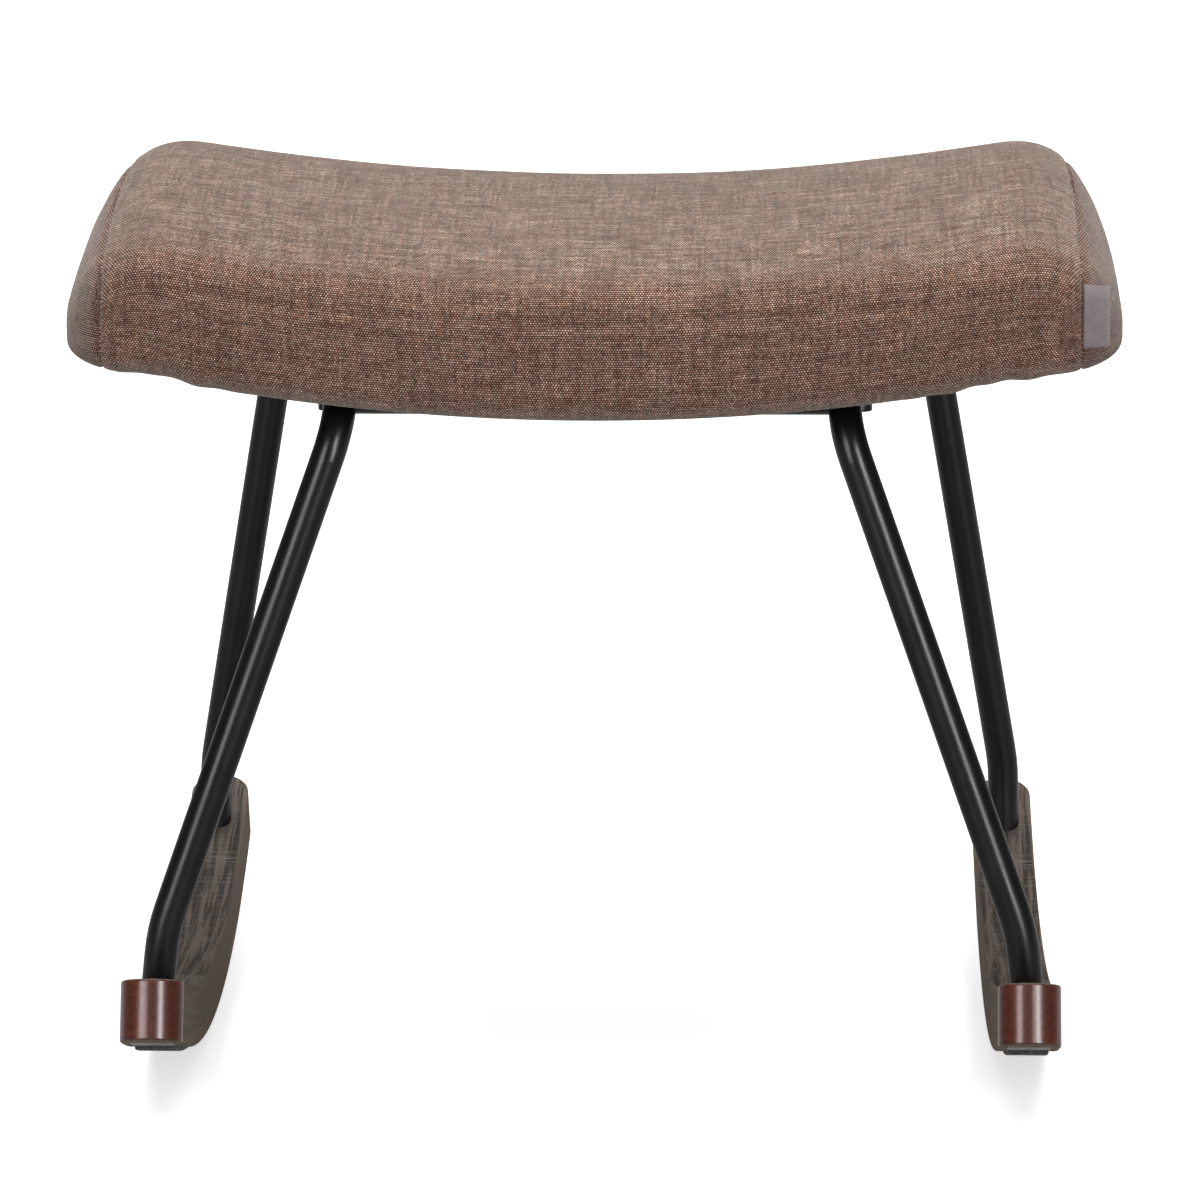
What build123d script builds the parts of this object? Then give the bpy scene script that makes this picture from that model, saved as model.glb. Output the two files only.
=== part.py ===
"""Rocking footstool: two bent-wood rockers, two bent tube hoops and an upholstered saddle seat.

Millimetres. X runs across the stool from rocker to rocker, Y runs along the rockers with the
front at -Y, and Z is up. The origin is on the floor, midway between the rockers and under the
middle of their arcs. Every piece is a solid of its own.
"""

from build123d import *
from math import asin, cos, degrees, pi, radians, sin, sqrt, tan
import os

# Rockers: laminated wood, an arc of constant thickness with bull-nosed ends
GAUGE = 416.0  # rocker centre to rocker centre
ROCKER_RADIUS = 510.0  # curve of the wood's underside
ROCKER_LENGTH = 406.0
ROCKER_WIDTH = 30.0
ROCKER_THICKNESS = 29.5
NOSE_FLAT = 1.2  # width left flat between the two rounded corners of a nose
ROCKER_EDGE_ROUND = 1.2

# Glide strips under the rockers: a plastic carrier let into the wood, with felt on it
CARRIER_WIDTH = 20.5
CARRIER_THICKNESS = 2.0
CARRIER_SETBACK = 13.0  # from the rocker's tip to the carrier's end
CARRIER_GAP = 0.1
FELT_WIDTH = 19.5
FELT_THICKNESS = 2.0
FELT_SETBACK = 20.0  # bare carrier left at each end of the felt
FELT_SQUASH = 0.35  # how far the weight presses the felt flat where it stands
NAIL_DIAMETER = 1.6
NAIL_LENGTH = 12.0
NAIL_HEAD_DIAMETER = 3.6
NAIL_HEAD_HEIGHT = 0.8
NAIL_SETBACK = 10.0  # from the carrier's end to the nail

# Leg hoops: one tube each, bent into front leg, top rail and rear leg
TUBE_DIAMETER = 16.0
TUBE_WALL = 1.5
LEG_SETBACK = 50.0  # from a rocker's tip to where a leg enters the wood
RAIL_HEIGHT = 333.0  # tube centre above the floor
RAIL_SPAN = 256.0  # front to rear corner of a top rail
FRONT_TOP_SPREAD = 233.4  # between the hoops at the front corners of the rails
REAR_TOP_SPREAD = 329.8  # between the hoops at the rear corners
FRONT_BEND_HEIGHT = 83.4  # where the front legs turn to enter the rockers
REAR_BEND_HEIGHT = 88.2
FRONT_FOOT_LEAN = 6.1  # degrees from upright, below the bend
REAR_FOOT_LEAN = 1.0
TOP_BEND_RADIUS = 26.0
FOOT_BEND_RADIUS = 90.0
CROSS_TUBE_DIAMETER = 16.0
CROSS_TUBE_SPACING = 200.0  # front cross tube to rear cross tube
WELD_GAP = 0.1

# Leg sockets, and the bolts that hold the legs from below
SOCKET_DEPTH = 16.5
SOCKET_CLEARANCE = 0.1
PLUG_LENGTH = 15.0  # threaded plug in the end of a leg
PLUG_CLEARANCE = 0.05
BOLT_DIAMETER = 6.0
BOLT_CLEARANCE = 0.3
THREAD_CLEARANCE = 0.05
BOLT_WEB = 5.0  # wood between the tube's end and the bolt's washer
BOLT_REACH = 10.0  # how far the bolt screws into the plug
BOLT_HEAD_DIAMETER = 10.0
BOLT_HEAD_HEIGHT = 3.6
BOLT_WASHER_DIAMETER = 12.0
BOLT_WASHER_THICKNESS = 1.2
HEX_KEY_SIZE = 4.0
HEX_KEY_DEPTH = 2.2

# Seat base: plywood bent to the saddle curve
SADDLE_RADIUS = 1050.0  # curve of the base's underside, low in the middle
BASE_LENGTH = 432.0
BASE_DEPTH = 260.0
BASE_THICKNESS = 12.0
BASE_CORNER_RADIUS = 28.0

# Upholstery
FABRIC = 1.5
HEM_WIDTH = 25.0  # cover turned in under the base
HEM_MITRE_RADIUS = 8.0
HEM_INSET = 4.0  # from the base's edge to the cover where it turns up under the base
SOFT_GAP = 0.3
BASE_GAP = 0.1
DUST_COVER_THICKNESS = 0.6
DUST_COVER_INSET = 1.5
DUST_COVER_HOLE = 22.0
FRAME_GAP = 0.3  # between the cross tubes and the dust cover
WRAP_LENGTH = 461.2  # seam to seam
SEAT_DEPTH = 292.0
END_BULGE = 23.2  # how far each end panel swells beyond its seam
END_WIDEST = 9.0  # height of an end panel's widest part above the lower edge at the seam
END_ROUNDING = 41.6  # radius of the shoulder that runs down to the seam
SEAM_ANGLE = 46.3  # how far round that shoulder the seam lies, in degrees
END_FULLNESS = 0.35  # how squarely an end panel turns its upright corners, 0 for square
LIP_DROP = 15.0  # how far the cushion's lower edge hangs below the base
SIDE_HEIGHT = 62.0  # lower edge to shoulder, at mid-length
CROWN_RISE = 28.8  # shoulder to the top of the crown
SEAM_TUCK = 3.5  # how far a seam draws the cushion in
SEAM_SAG = 1.3  # how much lower the lower edge hangs at a seam
TOP_SADDLE_RADIUS = 1205.0  # curve of the shoulders, low in the middle
FACE_SWELL = 2.0  # outward bow of the front and back faces
SHOULDER_RADIUS = 19.0
LIP_RADIUS = 13.0
WRAP_STATIONS = (0.0, 0.4, 0.7, 0.86, 0.92, 0.965, 1.0)  # sections from mid-length to the seam
END_STATIONS = (0.0, 0.3, 0.55, 0.75, 0.88)  # sections round an end panel, seam to widest

# Seat fixings
SPACER_DIAMETER = 18.0
SPACER_GAP = 0.1
SPACER_WRAP = 4.0  # how far a spacer reaches down round the tube
SCREW_SPACING = 140.0  # front to rear
SCREW_DIAMETER = 6.0
SCREW_LENGTH = 38.0
SCREW_HEAD_DIAMETER = 12.0
SCREW_HEAD_HEIGHT = 3.5
SCREW_CLEARANCE = 0.3
TEE_FLANGE_DIAMETER = 19.0
TEE_FLANGE_THICKNESS = 1.2
TEE_BARREL_DIAMETER = 8.0
TEE_BARREL_LENGTH = 8.4
TEE_RECESS = 2.8  # depth of the flat seat cut for the flange in the curved base

# Staples through dust cover, hem and base
STAPLE_CROWN = 10.0
STAPLE_WIRE = 0.8
STAPLE_WIDTH = 1.2
STAPLE_LEG = 7.0
STAPLE_INSET = 9.0  # from the turned edge of the cover
STAPLE_CORNER_MARGIN = 26.0
STAPLES_ALONG = 6
STAPLES_ACROSS = 4

# Blank label sewn into the right front seam
TAG_WIDTH = 13.0
TAG_HEIGHT = 30.0
TAG_THICKNESS = 0.8
TAG_RISE = 28.0  # label's middle above the cushion's lower edge at the seam
TAG_GAP = 0.1
TAG_TEETH = 12
TAG_TOOTH_DEPTH = 1.0

# Worked out from the sizes above
HALF_GAUGE = GAUGE / 2
ARC_CENTRE_Z = ROCKER_RADIUS + FELT_THICKNESS - FELT_SQUASH
ROCKER_TOP_RADIUS = ROCKER_RADIUS - ROCKER_THICKNESS
CARRIER_TOP_RADIUS = ROCKER_RADIUS - CARRIER_THICKNESS
TIP_ANGLE = degrees(asin(ROCKER_LENGTH / 2 / ROCKER_RADIUS))
CARRIER_ANGLE = TIP_ANGLE - degrees(CARRIER_SETBACK / ROCKER_RADIUS)
FELT_ANGLE = CARRIER_ANGLE - degrees(FELT_SETBACK / ROCKER_RADIUS)
NAIL_ANGLE = CARRIER_ANGLE - degrees(NAIL_SETBACK / ROCKER_RADIUS)
TUBE_RADIUS = TUBE_DIAMETER / 2
TUBE_BORE_RADIUS = TUBE_RADIUS - TUBE_WALL
CROSS_TUBE_RADIUS = CROSS_TUBE_DIAMETER / 2
FRAME_TOP_Z = RAIL_HEIGHT + max(TUBE_RADIUS, CROSS_TUBE_RADIUS)
BASE_Z = FRAME_TOP_Z + FRAME_GAP + DUST_COVER_THICKNESS + FABRIC  # underside at mid-length
SADDLE_CENTRE_Z = BASE_Z + SADDLE_RADIUS
HEM_LENGTH = BASE_LENGTH - 2 * HEM_INSET
HEM_DEPTH = BASE_DEPTH - 2 * HEM_INSET
HEM_CORNER_RADIUS = BASE_CORNER_RADIUS - HEM_INSET
HALF_WRAP = WRAP_LENGTH / 2
ROUNDING_START = HALF_WRAP - END_ROUNDING * sin(radians(SEAM_ANGLE))
HALF_SOCKET_SPACING = ROCKER_LENGTH / 2 - LEG_SETBACK


def arc_z(radius, y):
    """Height of an arc struck from the centre that all of the rockers' curves share."""
    return ARC_CENTRE_Z - sqrt(radius**2 - y**2)


def curved_bar(width, outer_radius, inner_radius, half_angle):
    """A bar that follows the left rocker's curve, lowest at mid-length, with square ends."""
    angles = [radians(angle) for angle in (-half_angle, 0, half_angle)]
    outer, inner = [
        [(radius * sin(angle), ARC_CENTRE_Z - radius * cos(angle)) for angle in angles]
        for radius in (outer_radius, inner_radius)
    ]
    with BuildPart() as bar:
        with BuildSketch(Plane.YZ.offset(-HALF_GAUGE)):
            with BuildLine():
                ThreePointArc(*outer)
                Line(outer[2], inner[2])
                ThreePointArc(*reversed(inner))
                Line(inner[0], outer[0])
            make_face()
        extrude(amount=width / 2, both=True)
    return bar.part


def nail_plane(angle):
    """Plane of a nail's head on the carrier's face, with its normal into the wood."""
    turn = radians(angle)
    return Plane(
        origin=(-HALF_GAUGE, ROCKER_RADIUS * sin(turn), ARC_CENTRE_Z - ROCKER_RADIUS * cos(turn)),
        x_dir=(1, 0, 0),
        z_dir=(0, -sin(turn), cos(turn)),
    )


NAIL_PLANES = [nail_plane(angle) for angle in (-NAIL_ANGLE, NAIL_ANGLE)]


class Foot:
    """The lower end of one of the left hoop's legs, and the planes of its fixings."""

    def __init__(self, y, lean, bend_height):
        slope = Vector(tan(radians(lean)), 0, 1)
        mouth = Vector(-HALF_GAUGE, y, arc_z(ROCKER_TOP_RADIUS, y))
        self.bend = mouth + slope * (bend_height - mouth.Z)
        self.tube_end = mouth - slope.normalized() * SOCKET_DEPTH
        self.plane = Plane(origin=self.tube_end, x_dir=(0, 1, 0), z_dir=slope)
        self.washer_plane = self.plane.offset(-BOLT_WEB - BOLT_WASHER_THICKNESS)
        self.head_plane = self.washer_plane.offset(-BOLT_HEAD_HEIGHT)


FRONT_FOOT = Foot(-HALF_SOCKET_SPACING, FRONT_FOOT_LEAN, FRONT_BEND_HEIGHT)
REAR_FOOT = Foot(HALF_SOCKET_SPACING, REAR_FOOT_LEAN, REAR_BEND_HEIGHT)
FEET = (FRONT_FOOT, REAR_FOOT)
RAIL_FRONT = Vector(-FRONT_TOP_SPREAD / 2, -RAIL_SPAN / 2, RAIL_HEIGHT)
RAIL_REAR = Vector(-REAR_TOP_SPREAD / 2, RAIL_SPAN / 2, RAIL_HEIGHT)
RAIL_PLANE = Plane(origin=RAIL_FRONT, x_dir=(0, 0, 1), z_dir=RAIL_REAR - RAIL_FRONT)


def rail_point(y):
    """The point on the left rail's axis that lies that far behind the middle."""
    along = (y - RAIL_FRONT.Y) / (RAIL_REAR.Y - RAIL_FRONT.Y)
    return RAIL_FRONT + (RAIL_REAR - RAIL_FRONT) * along


def rail_rod(radius):
    """A straight round bar along the left rail's axis."""
    with BuildPart() as rod:
        with BuildSketch(RAIL_PLANE):
            Circle(radius)
        extrude(amount=(RAIL_REAR - RAIL_FRONT).length)
    return rod.part


SCREW_POINTS = [rail_point(y) for y in (-SCREW_SPACING / 2, SCREW_SPACING / 2)]


def saddle_z(x, offset=0.0):
    """Height of the base's underside, or of the surface that lies that far above it."""
    return SADDLE_CENTRE_Z - sqrt((SADDLE_RADIUS - offset) ** 2 - x**2)


def saddle_slab(length, depth, corner_radius, low, high):
    """A rounded rectangle in plan, between two offsets of the base's underside."""
    x = length / 2 + corner_radius
    with BuildPart() as slab:
        with BuildSketch(Plane.XZ):
            with BuildLine():
                lower = ThreePointArc((-x, saddle_z(x, low)), (0, saddle_z(0, low)), (x, saddle_z(x, low)))
                upper = ThreePointArc((x, saddle_z(x, high)), (0, saddle_z(0, high)), (-x, saddle_z(x, high)))
                Line(lower @ 1, upper @ 0)
                Line(upper @ 1, lower @ 0)
            make_face()
        extrude(amount=depth / 2 + corner_radius, both=True)
        with BuildSketch():
            RectangleRounded(length, depth, corner_radius)
        extrude(amount=2 * BASE_Z, mode=Mode.INTERSECT)
    return slab.part


# ---------------------------------------------------------------- rockers
with BuildPart() as left_rocker:
    add(curved_bar(ROCKER_WIDTH, ROCKER_RADIUS, ROCKER_TOP_RADIUS, TIP_ANGLE))
    tips = left_rocker.faces().filter_by(GeomType.PLANE).filter_by(Axis.X, reverse=True)
    fillet(tips.edges().filter_by(Axis.X, reverse=True), (ROCKER_WIDTH - NOSE_FLAT) / 2)
    curved = left_rocker.faces().filter_by(GeomType.CYLINDER).sort_by(SortBy.AREA)[-2:]
    fillet(curved.edges(), ROCKER_EDGE_ROUND)
    add(
        curved_bar(
            CARRIER_WIDTH + 2 * CARRIER_GAP,
            ROCKER_RADIUS + FELT_THICKNESS,
            CARRIER_TOP_RADIUS - CARRIER_GAP,
            CARRIER_ANGLE + degrees(CARRIER_GAP / ROCKER_RADIUS),
        ),
        mode=Mode.SUBTRACT,
    )
    for foot in FEET:
        with BuildSketch(foot.plane):
            Circle(TUBE_RADIUS + SOCKET_CLEARANCE)
        extrude(amount=SOCKET_DEPTH + TUBE_DIAMETER, mode=Mode.SUBTRACT)
        with BuildSketch(foot.plane):
            Circle(BOLT_DIAMETER / 2 + BOLT_CLEARANCE)
        extrude(amount=-ROCKER_THICKNESS, mode=Mode.SUBTRACT)
        with BuildSketch(foot.plane.offset(-BOLT_WEB)):
            Circle(BOLT_WASHER_DIAMETER / 2 + BOLT_CLEARANCE)
        extrude(amount=-ROCKER_THICKNESS, mode=Mode.SUBTRACT)
    for plane in NAIL_PLANES:
        with BuildSketch(plane):
            Circle(NAIL_DIAMETER / 2 + THREAD_CLEARANCE)
        extrude(amount=NAIL_LENGTH + THREAD_CLEARANCE, mode=Mode.SUBTRACT)

with BuildPart() as right_rocker:
    mirror(left_rocker.part, about=Plane.YZ)

# ---------------------------------------------------------------- glide strips
with BuildPart() as left_carrier_strip:
    add(curved_bar(CARRIER_WIDTH, ROCKER_RADIUS, CARRIER_TOP_RADIUS, CARRIER_ANGLE))
    for plane in NAIL_PLANES:
        with BuildSketch(plane):
            Circle(NAIL_DIAMETER / 2 + THREAD_CLEARANCE)
        extrude(amount=2 * CARRIER_THICKNESS, mode=Mode.SUBTRACT)
        with BuildSketch(plane.offset(NAIL_HEAD_HEIGHT)):
            Circle(NAIL_HEAD_DIAMETER / 2 + THREAD_CLEARANCE)
        extrude(amount=-2 * CARRIER_THICKNESS, mode=Mode.SUBTRACT)

with BuildPart() as right_carrier_strip:
    mirror(left_carrier_strip.part, about=Plane.YZ)

with BuildPart() as left_felt_strip:
    add(curved_bar(FELT_WIDTH, ROCKER_RADIUS + FELT_THICKNESS, ROCKER_RADIUS, FELT_ANGLE))
    split(bisect_by=Plane.XY, keep=Keep.TOP)  # flat where the stool stands

with BuildPart() as right_felt_strip:
    mirror(left_felt_strip.part, about=Plane.YZ)

with BuildPart() as carrier_nails:
    for plane in NAIL_PLANES:
        with BuildSketch(plane):
            Circle(NAIL_DIAMETER / 2)
        extrude(amount=NAIL_LENGTH)
        with BuildSketch(plane):
            Circle(NAIL_HEAD_DIAMETER / 2)
        extrude(amount=NAIL_HEAD_HEIGHT)
    mirror(about=Plane.YZ)

# ---------------------------------------------------------------- leg hoops and cross tubes
HOOP_ROUTE = (FRONT_FOOT.tube_end, FRONT_FOOT.bend, RAIL_FRONT, RAIL_REAR, REAR_FOOT.bend, REAR_FOOT.tube_end)
HOOP_BENDS = (FOOT_BEND_RADIUS, TOP_BEND_RADIUS, TOP_BEND_RADIUS, FOOT_BEND_RADIUS)

with BuildPart() as left_leg_hoop:
    with BuildLine():
        FilletPolyline(*HOOP_ROUTE, radius=HOOP_BENDS)
    with BuildSketch(FRONT_FOOT.plane):
        Circle(TUBE_RADIUS)
        Circle(TUBE_BORE_RADIUS, mode=Mode.SUBTRACT)
    sweep()
    with BuildSketch(Plane.XY.offset(RAIL_HEIGHT - TUBE_DIAMETER)):
        with Locations(*[(point.X, point.Y) for point in SCREW_POINTS]):
            Circle(SCREW_DIAMETER / 2 + SCREW_CLEARANCE)
    extrude(amount=2 * TUBE_DIAMETER, mode=Mode.SUBTRACT)

with BuildPart() as right_leg_hoop:
    mirror(left_leg_hoop.part, about=Plane.YZ)


def cross_tube(y):
    """A tube from rail to rail, its ends coped round the rails that it is welded to."""
    half_length = -rail_point(y - CROSS_TUBE_RADIUS).X
    with BuildPart() as tube:
        with BuildSketch(Plane.YZ):
            with Locations((y, RAIL_HEIGHT)):
                Circle(CROSS_TUBE_RADIUS)
                Circle(CROSS_TUBE_RADIUS - TUBE_WALL, mode=Mode.SUBTRACT)
        extrude(amount=half_length, both=True)
        rail = rail_rod(TUBE_RADIUS + WELD_GAP)
        add(rail, mode=Mode.SUBTRACT)
        add(rail.mirror(Plane.YZ), mode=Mode.SUBTRACT)
    return tube.part


with BuildPart() as front_cross_tube:
    add(cross_tube(-CROSS_TUBE_SPACING / 2))

with BuildPart() as rear_cross_tube:
    add(cross_tube(CROSS_TUBE_SPACING / 2))

# ---------------------------------------------------------------- leg plugs, bolts and washers
with BuildPart() as leg_plugs:
    for foot in FEET:
        with BuildSketch(foot.plane):
            Circle(TUBE_BORE_RADIUS - PLUG_CLEARANCE)
            Circle(BOLT_DIAMETER / 2 + THREAD_CLEARANCE, mode=Mode.SUBTRACT)
        extrude(amount=PLUG_LENGTH)
    mirror(about=Plane.YZ)

with BuildPart() as rocker_washers:
    for foot in FEET:
        with BuildSketch(foot.washer_plane):
            Circle(BOLT_WASHER_DIAMETER / 2)
            Circle(BOLT_DIAMETER / 2 + BOLT_CLEARANCE, mode=Mode.SUBTRACT)
        extrude(amount=BOLT_WASHER_THICKNESS)
    mirror(about=Plane.YZ)

with BuildPart() as rocker_bolts:
    for foot in FEET:
        with BuildSketch(foot.head_plane):
            Circle(BOLT_HEAD_DIAMETER / 2)
        extrude(amount=BOLT_HEAD_HEIGHT)
        with BuildSketch(foot.washer_plane):
            Circle(BOLT_DIAMETER / 2)
        extrude(amount=BOLT_WASHER_THICKNESS + BOLT_WEB + BOLT_REACH)
        with BuildSketch(foot.head_plane):
            RegularPolygon(HEX_KEY_SIZE / 2, 6, major_radius=False)
        extrude(amount=HEX_KEY_DEPTH, mode=Mode.SUBTRACT)
    mirror(about=Plane.YZ)

class Staples:
    """Planes of the staples on the dust cover's underside, each with its normal into the base."""

    def __init__(self):
        x_side, y_side = HEM_LENGTH / 2 - STAPLE_INSET, HEM_DEPTH / 2 - STAPLE_INSET
        x_reach, y_reach = x_side - STAPLE_CORNER_MARGIN, y_side - STAPLE_CORNER_MARGIN
        x_places = [x_reach * (2 * i / (STAPLES_ALONG - 1) - 1) for i in range(STAPLES_ALONG)]
        y_places = [y_reach * (2 * i / (STAPLES_ACROSS - 1) - 1) for i in range(STAPLES_ACROSS)]
        self.planes = [self.plane(x, y, True) for x in x_places for y in (-y_side, y_side)]
        self.planes += [self.plane(x, y, False) for x in (-x_side, x_side) for y in y_places]

    def plane(self, x, y, along):
        radius = SADDLE_RADIUS + FABRIC + DUST_COVER_THICKNESS
        lean = asin(x / radius)
        return Plane(
            origin=(x, y, SADDLE_CENTRE_Z - radius * cos(lean)),
            x_dir=(cos(lean), 0, sin(lean)) if along else (0, 1, 0),
            z_dir=(-sin(lean), 0, cos(lean)),
        )

    def legs(self, clearance):
        """Every staple's legs, grown by a clearance."""
        with BuildPart() as legs:
            for plane in self.planes:
                with BuildSketch(plane):
                    with GridLocations(STAPLE_CROWN - STAPLE_WIRE, 0, 2, 1):
                        Rectangle(STAPLE_WIRE + 2 * clearance, STAPLE_WIDTH + 2 * clearance)
                extrude(amount=STAPLE_LEG + clearance)
        return legs.part


STAPLES = Staples()
STAPLE_HOLES = STAPLES.legs(THREAD_CLEARANCE)

# ---------------------------------------------------------------- seat base and its fixings
TEE_SEATS = [saddle_z(point.X, BASE_THICKNESS) - TEE_RECESS for point in SCREW_POINTS]

with BuildPart() as seat_base:
    add(saddle_slab(BASE_LENGTH, BASE_DEPTH, BASE_CORNER_RADIUS, BASE_GAP, BASE_THICKNESS))
    for point, seat_z in zip(SCREW_POINTS, TEE_SEATS):
        with BuildSketch(Plane.XY.offset(seat_z)):
            with Locations((point.X, point.Y), (-point.X, point.Y)):
                Circle(TEE_FLANGE_DIAMETER / 2 + SCREW_CLEARANCE)
        extrude(amount=BASE_THICKNESS, mode=Mode.SUBTRACT)
        with BuildSketch(Plane.XY.offset(seat_z)):
            with Locations((point.X, point.Y), (-point.X, point.Y)):
                Circle(TEE_BARREL_DIAMETER / 2 + THREAD_CLEARANCE)
        extrude(amount=-2 * BASE_THICKNESS, mode=Mode.SUBTRACT)
    add(STAPLE_HOLES, mode=Mode.SUBTRACT)

with BuildPart() as tee_nuts:
    for point, seat_z in zip(SCREW_POINTS, TEE_SEATS):
        with BuildSketch(Plane.XY.offset(seat_z)):
            with Locations((point.X, point.Y)):
                Circle(TEE_FLANGE_DIAMETER / 2)
        extrude(amount=TEE_FLANGE_THICKNESS)
        with BuildSketch(Plane.XY.offset(seat_z)):
            with Locations((point.X, point.Y)):
                Circle(TEE_BARREL_DIAMETER / 2)
        extrude(amount=-TEE_BARREL_LENGTH)
        with BuildSketch(Plane.XY.offset(seat_z - TEE_BARREL_LENGTH)):
            with Locations((point.X, point.Y)):
                Circle(SCREW_DIAMETER / 2 + THREAD_CLEARANCE)
        extrude(amount=TEE_BARREL_LENGTH + TEE_FLANGE_THICKNESS, mode=Mode.SUBTRACT)
    mirror(about=Plane.YZ)

with BuildPart() as seat_screws:
    under_rail = Plane.XY.offset(RAIL_HEIGHT - TUBE_RADIUS)
    with BuildSketch(under_rail):
        with Locations(*[(point.X, point.Y) for point in SCREW_POINTS]):
            Circle(SCREW_DIAMETER / 2)
    extrude(amount=SCREW_LENGTH)
    with BuildSketch(under_rail):
        with Locations(*[(point.X, point.Y) for point in SCREW_POINTS]):
            Circle(SCREW_HEAD_DIAMETER / 2)
    extrude(amount=-SCREW_HEAD_HEIGHT)
    with BuildSketch(under_rail.offset(-SCREW_HEAD_HEIGHT)):
        with Locations(*[(point.X, point.Y) for point in SCREW_POINTS]):
            RegularPolygon(HEX_KEY_SIZE / 2, 6, major_radius=False)
    extrude(amount=HEX_KEY_DEPTH, mode=Mode.SUBTRACT)
    mirror(about=Plane.YZ)


def seat_spacers(point):
    """The pair of spacers at one screw, each coped to its rail and cut to the base above."""
    with BuildPart() as pair:
        with BuildSketch(Plane.XY.offset(RAIL_HEIGHT + TUBE_RADIUS - SPACER_WRAP)):
            with Locations((point.X, point.Y)):
                Circle(SPACER_DIAMETER / 2)
                Circle(SCREW_DIAMETER / 2 + SCREW_CLEARANCE, mode=Mode.SUBTRACT)
        extrude(amount=saddle_z(point.X + SPACER_DIAMETER, BASE_THICKNESS) - RAIL_HEIGHT)
        add(rail_rod(TUBE_RADIUS + SPACER_GAP), mode=Mode.SUBTRACT)
        add(
            saddle_slab(BASE_LENGTH, BASE_DEPTH, BASE_CORNER_RADIUS, -BASE_GAP, SIDE_HEIGHT),
            mode=Mode.SUBTRACT,
        )
        mirror(about=Plane.YZ)
    return pair.part


with BuildPart() as front_seat_spacers:
    add(seat_spacers(SCREW_POINTS[0]))

with BuildPart() as rear_seat_spacers:
    add(seat_spacers(SCREW_POINTS[1]))


# ---------------------------------------------------------------- upholstery
class Section:
    """Outline of the cushion at one station along X, drawn in by an inset."""

    def __init__(self, x, inset):
        past = max(x - ROUNDING_START, 0)
        pull = (past / (HALF_WRAP - ROUNDING_START)) ** 2
        fall = END_ROUNDING - sqrt(END_ROUNDING**2 - past**2)
        self.x = x
        self.half_depth = SEAT_DEPTH / 2 - SEAM_TUCK * pull - inset
        self.low = BASE_Z - LIP_DROP + x**2 / (2 * SADDLE_RADIUS) - SEAM_SAG * pull + inset
        rise = x**2 / (2 * TOP_SADDLE_RADIUS)
        self.high = BASE_Z - LIP_DROP + SIDE_HEIGHT + rise - fall - inset
        self.crown = CROWN_RISE
        self.swell = FACE_SWELL
        self.lip_radius = LIP_RADIUS - inset
        self.shoulder_radius = SHOULDER_RADIUS - inset

    def shrunk(self, share, bulge):
        """The seam's outline carried round the swell of an end panel, by a share of the way to the widest."""
        start = radians(SEAM_ANGLE)
        angle = start + (pi / 2 - start) * share
        shrink = cos(angle) / cos(start)
        section = Section(HALF_WRAP, 0)
        middle = section.low + END_WIDEST
        section.x = self.x + bulge * (sin(angle) - sin(start)) / (1 - sin(start))
        section.half_depth = self.half_depth * shrink**END_FULLNESS
        section.low = middle + (self.low - middle) * shrink
        section.high = middle + (self.high - middle) * shrink
        for name in ("crown", "swell", "lip_radius", "shoulder_radius"):
            setattr(section, name, getattr(self, name) * shrink)
        return section

    def sketch(self, side=1):
        """The outline as a face across X: flat below, bowed in front and behind, crowned above."""
        y, bowed_y, middle = self.half_depth, self.half_depth + self.swell, (self.low + self.high) / 2
        with BuildSketch(Plane.YZ.offset(side * self.x)) as outline:
            with BuildLine():
                Line((-y, self.low), (y, self.low))
                ThreePointArc((y, self.low), (bowed_y, middle), (y, self.high))
                ThreePointArc((y, self.high), (0, self.high + self.crown), (-y, self.high))
                ThreePointArc((-y, self.high), (-bowed_y, middle), (-y, self.low))
            make_face()
            fillet(outline.vertices().group_by(Axis.Y)[0], self.lip_radius)
            fillet(outline.vertices().sort_by(Axis.Y)[-2:], self.shoulder_radius)
        return outline.sketch


def wrap_body(inset):
    """The cushion between its seams."""
    sections = [Section(fraction * HALF_WRAP, inset) for fraction in WRAP_STATIONS]
    outlines = [section.sketch(-1) for section in reversed(sections[1:])]
    outlines += [section.sketch() for section in sections]
    with BuildPart() as body:
        loft(outlines)
    return body.part


def end_body(inset):
    """The cushion beyond its left seam: the swell of the end panel."""
    seam = Section(HALF_WRAP, inset)
    with BuildPart() as body:
        loft([seam.shrunk(share, END_BULGE - inset).sketch(-1) for share in END_STATIONS])
    return body.part


def hem_pocket(growth, top):
    """The space under the base inside the cover's turned-up edge, grown sideways."""
    return saddle_slab(
        HEM_LENGTH + 2 * growth, HEM_DEPTH + 2 * growth, HEM_CORNER_RADIUS + growth, -4 * LIP_DROP, top
    )


def cover_core():
    """What the cover is wrapped round: the cushion inside the cloth, less the space under the base."""
    with BuildPart() as core:
        add(wrap_body(FABRIC))
        add(hem_pocket(FABRIC, 0), mode=Mode.SUBTRACT)
    return core.part


with BuildPart() as seat_cover:
    add(wrap_body(0))
    add(hem_pocket(0, -FABRIC), mode=Mode.SUBTRACT)
    add(cover_core(), mode=Mode.SUBTRACT)
    add(
        saddle_slab(
            HEM_LENGTH - 2 * HEM_WIDTH, HEM_DEPTH - 2 * HEM_WIDTH, HEM_MITRE_RADIUS, -2 * FABRIC, FABRIC
        ),
        mode=Mode.SUBTRACT,
    )
    add(STAPLE_HOLES, mode=Mode.SUBTRACT)

with BuildPart() as left_end_gusset:
    add(end_body(0))
    add(end_body(FABRIC), mode=Mode.SUBTRACT)

with BuildPart() as right_end_gusset:
    mirror(left_end_gusset.part, about=Plane.YZ)

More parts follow.
